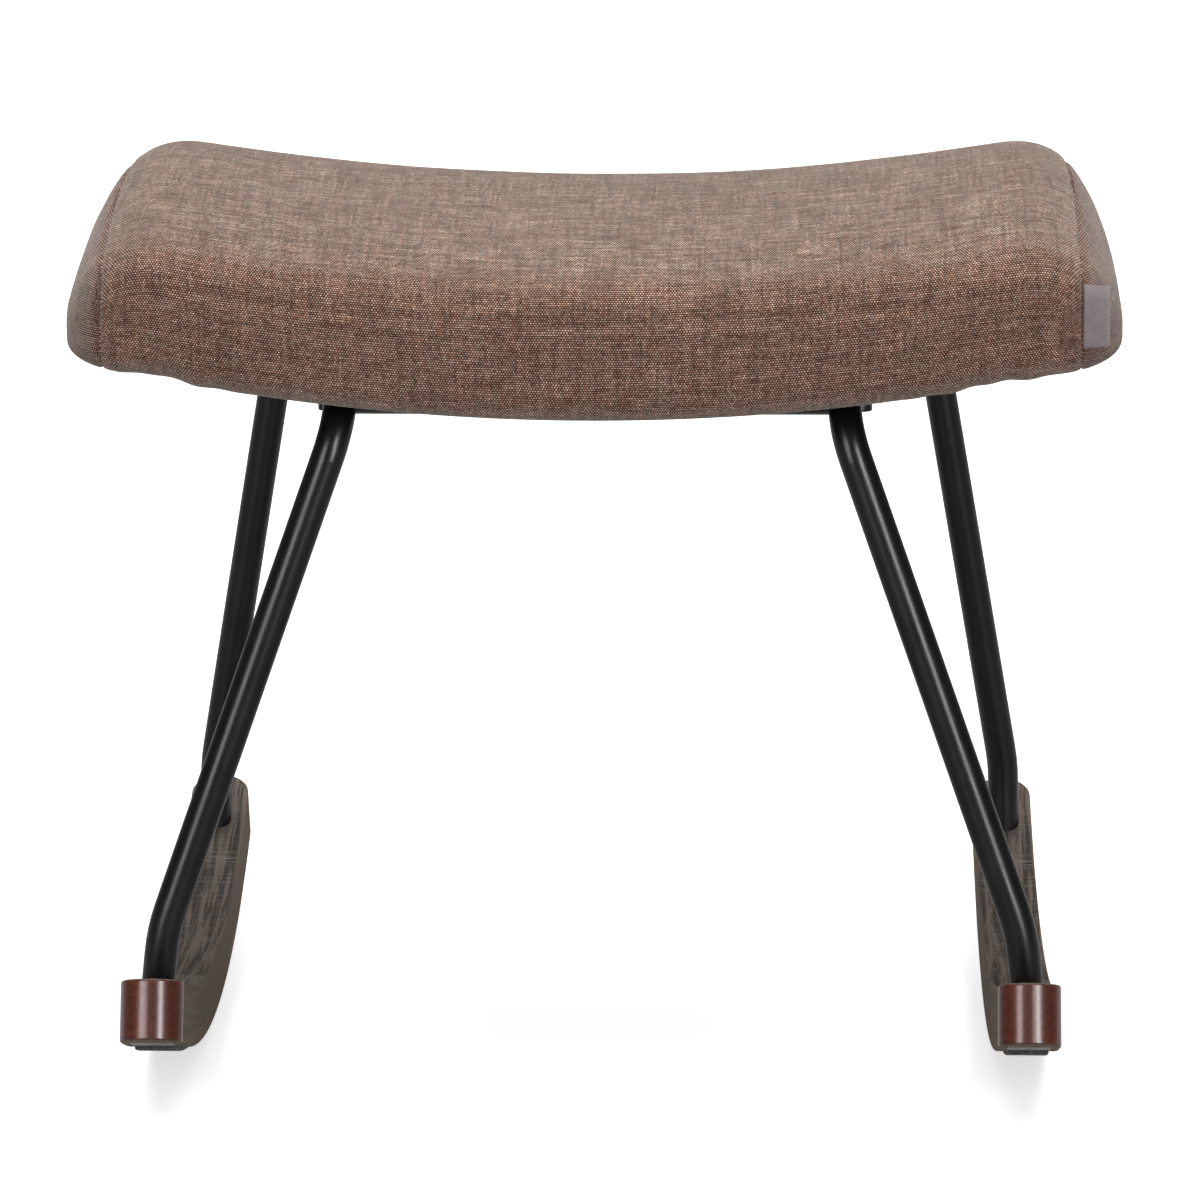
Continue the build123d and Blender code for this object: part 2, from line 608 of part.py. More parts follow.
with BuildPart() as seat_foam:
    inset = FABRIC + SOFT_GAP
    add(wrap_body(inset))
    left_end = end_body(inset)
    add(left_end)
    add(left_end.mirror(Plane.YZ))
    add(hem_pocket(inset, BASE_GAP + SOFT_GAP), mode=Mode.SUBTRACT)
    add(
        saddle_slab(
            BASE_LENGTH + 2 * SOFT_GAP,
            BASE_DEPTH + 2 * SOFT_GAP,
            BASE_CORNER_RADIUS + SOFT_GAP,
            BASE_GAP - SOFT_GAP,
            BASE_THICKNESS + SOFT_GAP,
        ),
        mode=Mode.SUBTRACT,
    )

with BuildPart() as dust_cover:
    add(
        saddle_slab(
            HEM_LENGTH - 2 * DUST_COVER_INSET,
            HEM_DEPTH - 2 * DUST_COVER_INSET,
            HEM_CORNER_RADIUS - DUST_COVER_INSET,
            -FABRIC - DUST_COVER_THICKNESS,
            -FABRIC,
        )
    )
    with BuildSketch(Plane.XY.offset(RAIL_HEIGHT)):
        with Locations(*[(side * point.X, point.Y) for point in SCREW_POINTS for side in (-1, 1)]):
            Circle(DUST_COVER_HOLE / 2)
    extrude(amount=4 * LIP_DROP, mode=Mode.SUBTRACT)
    add(STAPLE_HOLES, mode=Mode.SUBTRACT)

with BuildPart() as staples:
    add(STAPLES.legs(0))
    for plane in STAPLES.planes:
        with BuildSketch(plane):
            Rectangle(STAPLE_CROWN, STAPLE_WIDTH)
        extrude(amount=-STAPLE_WIRE)


# ---------------------------------------------------------------- blank label
def label_layer(growth):
    """The cushion's outline at the right seam, grown and carried out as far as the label reaches."""
    with BuildPart() as layer:
        extrude(Section(HALF_WRAP, -growth).sketch(), amount=TAG_WIDTH)
    return layer.part


with BuildPart() as seat_tag:
    add(label_layer(TAG_GAP + TAG_THICKNESS))
    add(label_layer(TAG_GAP), mode=Mode.SUBTRACT)
    with BuildSketch(Plane.XZ):
        with BuildLine():
            middle = Section(HALF_WRAP, 0).low + TAG_RISE
            steps = [i / (2 * TAG_TEETH) for i in range(2 * TAG_TEETH + 1)]
            right = HALF_WRAP + TAG_WIDTH
            edge = [
                (right - TAG_TOOTH_DEPTH * (i % 2), middle + TAG_HEIGHT * (step - 0.5))
                for i, step in enumerate(steps)
            ]
            Polyline((HALF_WRAP, edge[0][1]), *edge, (HALF_WRAP, edge[-1][1]), close=True)
        make_face()
    extrude(amount=SEAT_DEPTH, mode=Mode.INTERSECT)

# ---------------------------------------------------------------- files
os.makedirs("parts", exist_ok=True)
NODES = {
    "left_rocker": left_rocker,
    "right_rocker": right_rocker,
    "left_carrier_strip": left_carrier_strip,
    "right_carrier_strip": right_carrier_strip,
    "left_felt_strip": left_felt_strip,
    "right_felt_strip": right_felt_strip,
    "carrier_nails": carrier_nails,
    "left_leg_hoop": left_leg_hoop,
    "right_leg_hoop": right_leg_hoop,
    "front_cross_tube": front_cross_tube,
    "rear_cross_tube": rear_cross_tube,
    "leg_plugs": leg_plugs,
    "rocker_bolts": rocker_bolts,
    "rocker_washers": rocker_washers,
    "front_seat_spacers": front_seat_spacers,
    "rear_seat_spacers": rear_seat_spacers,
    "seat_screws": seat_screws,
    "tee_nuts": tee_nuts,
    "seat_base": seat_base,
    "seat_foam": seat_foam,
    "seat_cover": seat_cover,
    "left_end_gusset": left_end_gusset,
    "right_end_gusset": right_end_gusset,
    "dust_cover": dust_cover,
    "staples": staples,
    "seat_tag": seat_tag,
}
for label, piece in NODES.items():
    piece.part.label = label
    export_step(piece.part, f"parts/{label}.step")
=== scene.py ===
"""Looks of the rocking footstool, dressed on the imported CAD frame.

Lengths are in metres, in the same frame as the CAD. Colours are linear red, green and blue.
"""

import math

import bmesh
import bpy
import numpy as np
from mathutils import Matrix, Vector, noise
from mathutils.bvhtree import BVHTree


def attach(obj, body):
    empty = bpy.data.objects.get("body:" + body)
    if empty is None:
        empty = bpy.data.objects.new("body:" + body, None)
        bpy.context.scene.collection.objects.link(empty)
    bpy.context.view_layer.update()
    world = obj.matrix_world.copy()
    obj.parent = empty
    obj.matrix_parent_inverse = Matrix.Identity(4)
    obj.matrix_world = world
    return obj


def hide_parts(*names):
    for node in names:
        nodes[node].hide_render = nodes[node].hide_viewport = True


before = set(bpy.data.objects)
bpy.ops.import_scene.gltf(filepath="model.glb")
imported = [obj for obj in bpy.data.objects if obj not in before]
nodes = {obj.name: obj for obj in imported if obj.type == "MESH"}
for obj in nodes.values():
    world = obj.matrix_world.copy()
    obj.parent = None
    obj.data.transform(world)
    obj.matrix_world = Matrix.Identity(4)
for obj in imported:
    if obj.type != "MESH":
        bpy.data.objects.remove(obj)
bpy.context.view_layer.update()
scene = bpy.context.scene

# ---------------------------------------- sizes, as in the CAD
# the cushion along its saddle
BASE_Z = 0.3434  # underside of the base, at its lowest
SADDLE_RADIUS = 1.050
TOP_SADDLE_RADIUS = 1.205
HALF_WRAP = 0.2306  # from the middle to a seam
SEAT_DEPTH = 0.292
SIDE_HEIGHT = 0.062
LIP_DROP = 0.015  # the lower edge hangs this far under the base
CROWN_RISE = 0.0288
FACE_SWELL = 0.002
SHOULDER_RADIUS = 0.019
LIP_RADIUS = 0.013
# its end panels
SEAM_ANGLE = math.radians(46.3)
SEAM_TUCK = 0.0035
SEAM_SAG = 0.0013
END_ROUNDING = 0.0416
END_BULGE = 0.0232
END_WIDEST = 0.009
END_FULLNESS = 0.35
ROUNDING_START = HALF_WRAP - END_ROUNDING * math.sin(SEAM_ANGLE)
# the hem and the lining under the base
HEM_HALF_LENGTH = 0.212
HEM_HALF_DEPTH = 0.126
HEM_CORNER = 0.024
FABRIC = 0.0015
DUST_THICKNESS = 0.0006
# the top rails of the leg hoops, which spread towards the rear, and the spacers on them
RAIL_FRONT_X = 0.1167
RAIL_REAR_X = 0.1649
RAIL_HALF_RUN = 0.128
SPACER_Y = 0.070
# the rockers
HALF_GAUGE = 0.208
ROCKER_RADIUS = 0.510
ROCKER_THICKNESS = 0.0295
ROCKER_REACH = 0.203
NOSE_RADIUS = 0.0144
ARC_CENTRE_Z = 0.51165


def saddle_z(x, below):
    """Height of a surface that lies some way below the base's underside."""
    return BASE_Z + SADDLE_RADIUS - math.sqrt((SADDLE_RADIUS + below) ** 2 - x * x)


def step(t):
    """Smooth rise from 0 to 1."""
    t = min(max(t, 0.0), 1.0)
    return t * t * (3 - 2 * t)


def bell(t):
    """Smooth bump: 1 at 0, and 0.37 at 1."""
    return math.exp(-(t**2))


# ---------------------------------------- helpers for node materials
class Nodes:
    """Builds a node material with short calls. Noise scales are per metre."""

    def __init__(self, name):
        self.mat = bpy.data.materials.new(name)
        self.mat.use_nodes = True
        self.tree = self.mat.node_tree
        self.bsdf = self.tree.nodes["Principled BSDF"]

    def put(self, socket, value):
        """Links another node's output to a socket, or sets the socket's own value."""
        if isinstance(value, bpy.types.NodeSocket):
            self.tree.links.new(value, socket)
        else:
            socket.default_value = value

    def math(self, op, a, b=0.0):
        n = self.tree.nodes.new("ShaderNodeMath")
        n.operation = op
        self.put(n.inputs[0], a)
        self.put(n.inputs[1], b)
        return n.outputs[0]

    def plus(self, a, b):
        return self.math("ADD", a, b)

    def minus(self, a, b):
        return self.math("SUBTRACT", a, b)

    def times(self, a, b):
        return self.math("MULTIPLY", a, b)

    def over(self, a, b):
        return self.math("DIVIDE", a, b)

    def floor(self, a):
        return self.math("FLOOR", a)

    def fract(self, a):
        return self.math("FRACT", a)

    def size(self, a):
        return self.math("ABSOLUTE", a)

    def hypot(self, a, b):
        return self.math("SQRT", self.plus(self.times(a, a), self.times(b, b)))

    def coords(self, kind):
        return self.tree.nodes.new("ShaderNodeTexCoord").outputs[kind]

    def split(self, vector):
        n = self.tree.nodes.new("ShaderNodeSeparateXYZ")
        self.put(n.inputs[0], vector)
        return n.outputs[0], n.outputs[1], n.outputs[2]

    def join(self, x, y, z):
        n = self.tree.nodes.new("ShaderNodeCombineXYZ")
        for socket, value in zip(n.inputs, (x, y, z)):
            self.put(socket, value)
        return n.outputs[0]

    def scaled(self, vector, sx, sy, sz):
        n = self.tree.nodes.new("ShaderNodeVectorMath")
        n.operation = "MULTIPLY"
        self.put(n.inputs[0], vector)
        n.inputs[1].default_value = (sx, sy, sz)
        return n.outputs[0]

    def noise(self, vector, scale, detail, rough=0.5, distortion=0.0):
        n = self.tree.nodes.new("ShaderNodeTexNoise")
        self.put(n.inputs["Vector"], vector)
        n.inputs["Scale"].default_value = scale
        n.inputs["Detail"].default_value = detail
        n.inputs["Roughness"].default_value = rough
        n.inputs["Distortion"].default_value = distortion
        return n.outputs["Fac"]

    def streaks(self, u, v, per_u, per_v, layer, detail=1.0, rough=0.5):
        """Noise drawn out along the cloth, in a layer of its own."""
        place = self.join(self.times(u, per_u), self.times(v, per_v), layer)
        return self.noise(place, 1.0, detail, rough)

    def white(self, vector):
        n = self.tree.nodes.new("ShaderNodeTexWhiteNoise")
        self.put(n.inputs["Vector"], vector)
        return n.outputs["Value"]

    def ramp(self, value, low, high, out_low=0.0, out_high=1.0, smooth=True):
        n = self.tree.nodes.new("ShaderNodeMapRange")
        n.interpolation_type = "SMOOTHSTEP" if smooth else "LINEAR"
        keys = ("Value", "From Min", "From Max", "To Min", "To Max")
        for key, v in zip(keys, (value, low, high, out_low, out_high)):
            self.put(n.inputs[key], v)
        return n.outputs[0]

    def mix(self, fac, a, b, mode="MIX"):
        n = self.tree.nodes.new("ShaderNodeMix")
        n.data_type = "RGBA"
        n.blend_type = mode
        self.put(n.inputs[0], fac)
        for socket, value in ((n.inputs[6], a), (n.inputs[7], b)):
            if isinstance(value, tuple) and len(value) == 3:
                value = (*value, 1.0)
            self.put(socket, value)
        return n.outputs[2]

    def tinted(self, colour, by):
        return self.mix(1.0, colour, by, "MULTIPLY")

    def bump(self, height, distance, strength):
        n = self.tree.nodes.new("ShaderNodeBump")
        n.inputs["Strength"].default_value = strength
        n.inputs["Distance"].default_value = distance
        self.put(n.inputs["Height"], height)
        self.put(self.bsdf.inputs["Normal"], n.outputs[0])

    def set(self, **values):
        """Sets or links the shader's sockets, and hands over the finished material."""
        for key, value in values.items():
            self.put(self.bsdf.inputs[key.replace("_", " ")], value)
        return self.mat


# ---------------------------------------- materials
KNOT_PITCH = 0.00128  # from knot to knot along a row of the weave
ROW_PITCH = 0.00112
THREAD_WAVER = 0.0010
CROWN_STARTS, CROWN_FULL = 0.149, 0.118  # girth from the top of the crown
SEAM_BLEND = 0.001
# painted light: how much paler and whiter the crown is made, in each channel
CROWN_PAINTED_LIGHT = (1.08, 1.21, 1.21)
# painted shade: how much darker the end panels are made, in each channel
END_PAINTED_SHADE = (0.83, 0.78, 0.74)
STREAK_TINT = (0.86, 1.05, 1.20)  # how strongly a streak shows in each channel


def weave_material(name):
    """Fine chenille plain weave: pale staggered knots on warm brown, laid along the UV map."""
    m = Nodes(name)
    uv = m.coords("UV")
    u, v, _ = m.split(uv)
    u = m.plus(u, m.times(m.noise(uv, 60.0, 1.0), THREAD_WAVER))
    v = m.plus(v, m.times(m.noise(uv, 43.0, 1.0), THREAD_WAVER))
    row = m.floor(m.over(v, ROW_PITCH))
    odd = m.size(m.math("MODULO", row, 2.0))
    column = m.plus(m.over(u, KNOT_PITCH), m.times(odd, 0.5))
    whole_column = m.floor(column)
    across = m.minus(m.fract(column), 0.5)
    along = m.minus(m.fract(m.over(v, ROW_PITCH)), 0.5)
    knot = m.ramp(m.hypot(across, along), 0.53, 0.08)
    pick = m.white(m.join(whole_column, row, 0.0))
    gap = m.white(m.join(m.floor(m.plus(column, 0.5)), row, 5.0))
    weft = m.streaks(u, row, 32.0, 1.71, 2.0)
    thick = m.streaks(u, v, 95.0, 210.0, 4.0, 2.0, 0.6)
    warp = m.streaks(whole_column, v, 1.71, 30.0, 7.0)
    slub = m.noise(m.scaled(uv, 190.0, 520.0, 1.0), 1.0, 3.0, 0.65)
    drift = m.noise(uv, 75.0, 3.0, 0.6)
    ground = m.mix(gap, (0.037, 0.0114, 0.0066), (0.144, 0.060, 0.038))
    pale = m.mix(pick, (0.470, 0.264, 0.190), (0.905, 0.666, 0.540))
    colour = m.mix(knot, ground, pale)
    for thread, depth in ((weft, 0.30), (thick, 0.17), (warp, 0.27), (slub, 0.12)):
        colour = m.tinted(colour, m.ramp(thread, 0.25, 0.75, 1 - depth, 1 + depth, False))
    warmth = m.mix(m.ramp(drift, 0.36, 0.64), (1.018, 0.982, 0.972), (0.984, 1.012, 1.012))
    colour = m.tinted(colour, warmth)
    # painted light: the crown is made paler and whiter, standing in for the light from above and
    # the sheen of a grazing view; the streaks along the seat on it are the pile's own
    x, _, _ = m.split(m.coords("Object"))
    end = m.ramp(m.size(x), HALF_WRAP - SEAM_BLEND, HALF_WRAP + SEAM_BLEND)
    crown = m.times(m.ramp(m.size(v), CROWN_STARTS, CROWN_FULL), m.minus(1.0, end))
    streak = m.noise(m.scaled(uv, 62.0, 430.0, 1.0), 1.0, 2.0, 0.6)
    fold = m.noise(m.scaled(uv, 11.0, 62.0, 1.0), 1.0, 2.0, 0.6)
    ribs = m.streaks(whole_column, v, 2.37, 19.0, 3.0)
    # flat is the crown's colour with its painted light
    flat = m.tinted(colour, CROWN_PAINTED_LIGHT)
    for thread, depth in ((streak, 0.30), (fold, 0.12), (ribs, 0.11)):
        low, high = (tuple(1 + sign * depth * k for k in STREAK_TINT) for sign in (-1, 1))
        flat = m.tinted(flat, m.mix(m.ramp(thread, 0.33, 0.67, smooth=False), low, high))
    colour = m.mix(crown, colour, flat)
    # painted shade: the end panels are made darker, standing in for the lesser light that falls on
    # them
    colour = m.mix(end, colour, m.tinted(colour, END_PAINTED_SHADE))
    m.bump(m.plus(knot, m.times(slub, 0.6)), 0.00042, 0.85)
    return m.set(
        Base_Color=colour,
        Roughness=0.95,
        Specular_IOR_Level=0.02,
        Sheen_Weight=0.72,
        Sheen_Roughness=0.31,
        Sheen_Tint=(0.97, 0.94, 0.90, 1.0),
    )


NOSE_BLEND = 0.0004  # half the width over which the polish ends
ROCKER_TIP = ROCKER_REACH / ROCKER_RADIUS  # sine of the arc's half angle


def polished_nose(m, along, depth):
    """1 on a rocker's rounded ends, 0 elsewhere and on its underside and top face."""
    starts = ROCKER_RADIUS * math.asin(ROCKER_TIP) - NOSE_RADIUS
    nose = m.ramp(m.size(along), starts - NOSE_BLEND, starts + NOSE_BLEND)
    nose = m.times(nose, m.minus(1.0, m.ramp(depth, 0.0007, 0.0002)))
    return m.times(nose, m.ramp(depth, ROCKER_THICKNESS - 0.0003, ROCKER_THICKNESS - 0.0010))


def wood_material(name, side):
    """Polished reddish noses, sawn brown-grey sides made lighter as painted light, and a scratched
    dark top.
    """
    m = Nodes(name)
    x, y, z = m.split(m.coords("Object"))
    across = m.minus(x, side * HALF_GAUGE)
    up = m.minus(ARC_CENTRE_Z, z)
    along = m.times(m.math("ARCTAN2", y, up), ROCKER_RADIUS)
    depth = m.minus(ROCKER_RADIUS, m.hypot(y, up))
    grain = m.noise(m.join(across, m.times(along, 0.035), depth), 420.0, 4.0, 0.65, 0.4)
    fine = m.noise(m.join(across, m.times(along, 0.05), depth), 2100.0, 3.0, 0.7, 0.5)
    scratch = m.noise(m.join(m.times(across, 0.06), along, depth), 900.0, 2.0, 0.6, 0.8)
    wear_and_highlight = m.noise(m.join(across, m.times(along, 0.4), depth), 34.0, 3.0)
    on_top = m.ramp(depth, ROCKER_THICKNESS - 0.0012, ROCKER_THICKNESS - 0.0002)

    top = m.mix(m.ramp(grain, 0.39, 0.61), (0.032, 0.023, 0.016), (0.150, 0.118, 0.090))
    top = m.mix(m.ramp(fine, 0.56, 0.68, 0.0, 0.60), top, (0.225, 0.200, 0.175))
    top = m.mix(m.ramp(fine, 0.42, 0.30, 0.0, 0.55), top, (0.026, 0.020, 0.016))
    # painted light: the sides' sawn grain is made lighter, standing in for the light that falls on
    # them
    lit_sawn_side = m.mix(m.ramp(grain, 0.36, 0.64), (0.150, 0.105, 0.066), (0.212, 0.156, 0.102))
    lit_sawn_side = m.mix(m.ramp(fine, 0.44, 0.30, 0.0, 0.35), lit_sawn_side, (0.078, 0.056, 0.038))
    dull = m.mix(on_top, lit_sawn_side, top)
    worn_top = m.times(on_top, m.ramp(wear_and_highlight, 0.40, 0.60))
    scratched = m.times(m.ramp(scratch, 0.55, 0.63), worn_top)
    dull = m.mix(m.times(scratched, 0.60), dull, (0.230, 0.215, 0.200))

    red = m.mix(m.ramp(grain, 0.30, 0.70), (0.074, 0.0130, 0.0056), (0.142, 0.0310, 0.0138))
    red = m.mix(m.ramp(wear_and_highlight, 0.35, 0.70, 0.0, 0.35), red, (0.052, 0.0090, 0.0045))
    red = m.mix(m.ramp(depth, 0.0035, 0.0, 0.0, 0.55), red, (0.045, 0.014, 0.008))
    nose = polished_nose(m, along, depth)
    colour = m.mix(nose, dull, red)

    # painted highlight: a pale line along the top edges, where their rounding catches the light,
    # broken up by the same noise as the wear
    side_edge = m.ramp(m.size(across), 0.0137, 0.0146)
    top_edge = m.ramp(depth, ROCKER_THICKNESS - 0.0014, ROCKER_THICKNESS - 0.0005)
    edge_highlight = m.times(m.times(side_edge, top_edge), m.ramp(wear_and_highlight, 0.3, 0.6, 0.4, 1.0))
    colour = m.mix(m.times(edge_highlight, 0.45), colour, (0.250, 0.200, 0.150))
    m.bump(m.plus(grain, m.times(fine, 0.6)), 0.00007, 0.4)
    rough = m.plus(m.ramp(nose, 0.0, 1.0, 0.66, 0.28, False), m.times(fine, 0.06))
    return m.set(
        Base_Color=colour,
        Roughness=rough,
        Coat_Weight=nose,
        Coat_Roughness=0.22,
        Coat_IOR=1.28,
        IOR=1.30,
    )


def powder_material(name):
    """Near-black satin powder coat with a little orange peel."""
    m = Nodes(name)
    p = m.coords("Object")
    peel = m.noise(p, 1500.0, 2.0, 0.55)
    speck = m.noise(p, 5200.0, 1.0)
    dust = m.noise(p, 60.0, 3.0)
    dusty = m.ramp(dust, 0.4, 0.75, 0.0, 0.35)
    colour = m.mix(dusty, (0.0042, 0.0042, 0.0048), (0.0080, 0.0080, 0.0088))
    m.bump(m.plus(peel, m.times(speck, 0.3)), 0.00004, 0.5)
    rough = m.ramp(dust, 0.3, 0.7, 0.27, 0.33, False)
    return m.set(Base_Color=colour, Roughness=rough, IOR=1.42, Specular_IOR_Level=0.30)


def felt_material(name):
    """Dark navy felt with paler fibres."""
    m = Nodes(name)
    p = m.coords("Object")
    fibres = m.noise(m.scaled(p, 1.0, 0.45, 1.0), 1700.0, 4.0, 0.75, 1.2)
    mottled = m.noise(p, 420.0, 3.0, 0.6)
    colour = m.mix(m.ramp(mottled, 0.35, 0.68), (0.030, 0.034, 0.046), (0.085, 0.092, 0.115))
    colour = m.mix(m.ramp(fibres, 0.55, 0.68, 0.0, 0.75), colour, (0.25, 0.26, 0.31))
    m.bump(fibres, 0.0004, 0.9)
    return m.set(Base_Color=colour, Roughness=0.97, Sheen_Weight=0.4, Sheen_Roughness=0.5)


def plastic_material(name, dark, light, rough):
    """Moulded plastic, or thread, with a fine pebble."""
    m = Nodes(name)
    p = m.coords("Object")
    cloud = m.noise(p, 70.0, 3.0)
    pebble = m.noise(p, 900.0, 2.0)
    colour = m.mix(m.ramp(cloud, 0.3, 0.7), dark, light)
    m.bump(pebble, 0.00005, 0.5)
    cloudy = m.ramp(cloud, 0.3, 0.7, rough, rough + 0.08, False)
    return m.set(Base_Color=colour, Roughness=cloudy)


def steel_material(name, dark, light):
    """Plated or bare steel of the fixings, with turned marks."""
    m = Nodes(name)
    p = m.coords("Object")
    cloud = m.noise(p, 420.0, 3.0, 0.6, 0.8)
    turned = m.noise(m.scaled(p, 1.0, 1.0, 14.0), 900.0, 2.0)
    colour = m.mix(m.ramp(cloud, 0.3, 0.7), dark, light)
    m.bump(turned, 0.00003, 0.5)
    rough = m.ramp(cloud, 0.3, 0.7, 0.30, 0.44, False)
    return m.set(Base_Color=colour, Metallic=1.0, Roughness=rough)


def plywood_material(name):
    """Birch plywood, its plies seen at the edges."""
    ply_thickness = 0.0030
    m = Nodes(name)
    x, y, z = m.split(m.coords("Object"))
    grain = m.noise(m.join(m.times(x, 0.05), y, m.times(z, 0.2)), 260.0, 4.0, 0.6, 0.5)
    ply = m.fract(m.over(z, ply_thickness))
    line = m.ramp(m.size(m.minus(ply, 0.5)), 0.42, 0.49)
    colour = m.mix(m.ramp(grain, 0.3, 0.7), (0.50, 0.35, 0.21), (0.66, 0.50, 0.33))
    colour = m.mix(m.times(line, 0.25), colour, (0.30, 0.19, 0.11))
    m.bump(grain, 0.0002, 0.4)
    return m.set(Base_Color=colour, Roughness=0.7)


def lining_material(name):
    """Black non-woven lining with its pressed dot pattern."""
    dot_pitch = 0.0021
    m = Nodes(name)
    p = m.coords("Object")
    x, y, _ = m.split(p)
    column, row = m.over(x, dot_pitch), m.over(y, dot_pitch)
    shift = m.times(m.math("MODULO", m.floor(row), 2.0), 0.5)
    du = m.minus(m.fract(m.plus(column, shift)), 0.5)
    dv = m.minus(m.fract(row), 0.5)
    dot = m.ramp(m.hypot(du, dv), 0.30, 0.20)
    fibres = m.noise(p, 1800.0, 3.0, 0.7, 1.5)
    colour = m.mix(m.ramp(fibres, 0.35, 0.7), (0.016, 0.016, 0.018), (0.045, 0.045, 0.048))
    colour = m.mix(m.times(dot, 0.5), colour, (0.012, 0.012, 0.013))
    m.bump(m.minus(m.times(fibres, 0.5), dot), 0.0003, 0.7)
    return m.set(Base_Color=colour, Roughness=0.9, Sheen_Weight=0.15)


def tag_material(name):
    """Blank satin ribbon, with fine ribs across it and a paler free edge."""
    rib_pitch, thread_pitch = 0.00042, 0.0003
    m = Nodes(name)
    uv = m.coords("UV")
    u, v, _ = m.split(uv)
    ribs = m.math("SINE", m.times(v, 2 * math.pi / rib_pitch))
    threads = m.math("SINE", m.times(u, 2 * math.pi / thread_pitch))
    cloud = m.noise(uv, 160.0, 3.0)
    near_edge = m.ramp(u, 0.0108, 0.0128)
    colour = m.mix(m.ramp(cloud, 0.3, 0.7), (0.165, 0.126, 0.130), (0.218, 0.171, 0.174))
    colour = m.mix(m.times(m.ramp(ribs, -1.0, 1.0), 0.16), colour, (0.33, 0.28, 0.28))
    colour = m.mix(m.times(near_edge, 0.35), colour, (0.47, 0.42, 0.41))
    m.bump(m.plus(ribs, m.times(threads, 0.4)), 0.00004, 0.8)
    return m.set(Base_Color=colour, Roughness=0.42, Sheen_Weight=0.3, Sheen_Roughness=0.3)


# ---------------------------------------- helpers for meshes
def link_mesh(bm, name):
    """Turns a bmesh into an object of the scene."""
    mesh = bpy.data.meshes.new(name)
    bm.to_mesh(mesh)
    bm.free()
    obj = bpy.data.objects.new(name, mesh)
    scene.collection.objects.link(obj)
    return obj


def link_shell(bm, name):
    """The same for a closed smooth shell, which faces outwards."""
    bmesh.ops.recalc_face_normals(bm, faces=bm.faces)
    obj = link_mesh(bm, name)
    smooth(obj)
    return obj


def smooth(obj):
    obj.data.polygons.foreach_set("use_smooth", [True] * len(obj.data.polygons))
    obj.data.update()


def apply_modifiers(obj):
    dg = bpy.context.evaluated_depsgraph_get()
    mesh = bpy.data.meshes.new_from_object(obj.evaluated_get(dg))
    obj.modifiers.clear()
    obj.data = mesh


def uv_face(bm, layer, verts, uvs, flip):
    """One face, with its corners' places on the cloth."""
    if flip:
        verts, uvs = verts[::-1], uvs[::-1]
    face = bm.faces.new(verts)
    for loop, uv in zip(face.loops, uvs):
        loop[layer].uv = uv


def band(bm, ring, following):
    """Quads from one closed ring of points to the next."""
    for k in range(len(ring)):
        n = (k + 1) % len(ring)
        bm.faces.new((ring[k], ring[n], following[n], following[k]))


# ---------------------------------------- cushion: its closed form
# points along each stretch of half a section, from the middle of the bottom up to the crown
BOTTOM, LIP, FACE, SHOULDER, CROWN = 32, 7, 12, 9, 32
HALF_RING = BOTTOM + LIP + FACE + SHOULDER + CROWN
COLUMNS = 2 * HALF_RING
FACE_ONLY = 8  # power that keeps the faces' swell off the bottom and the crown
NEAR_SEAM = (0.0, 0.0007, 0.0016, 0.0028, 0.0045)  # rows close to a seam
EVEN_FROM = 0.007  # from a seam, where the wrap's even rows start
WRAP_ROWS = 104
END_ROWS = 16
END_STEP, END_LAST = 2.5, 88.6  # degrees, of an end panel's even rows
HEM_TURN = 0.0045  # the cover turns up to the base over this width


def arc_points(cy, cz, r, a0, a1, n):
    return [(cy + r * math.cos(a), cz + r * math.sin(a)) for a in np.linspace(a0, a1, n + 1)]


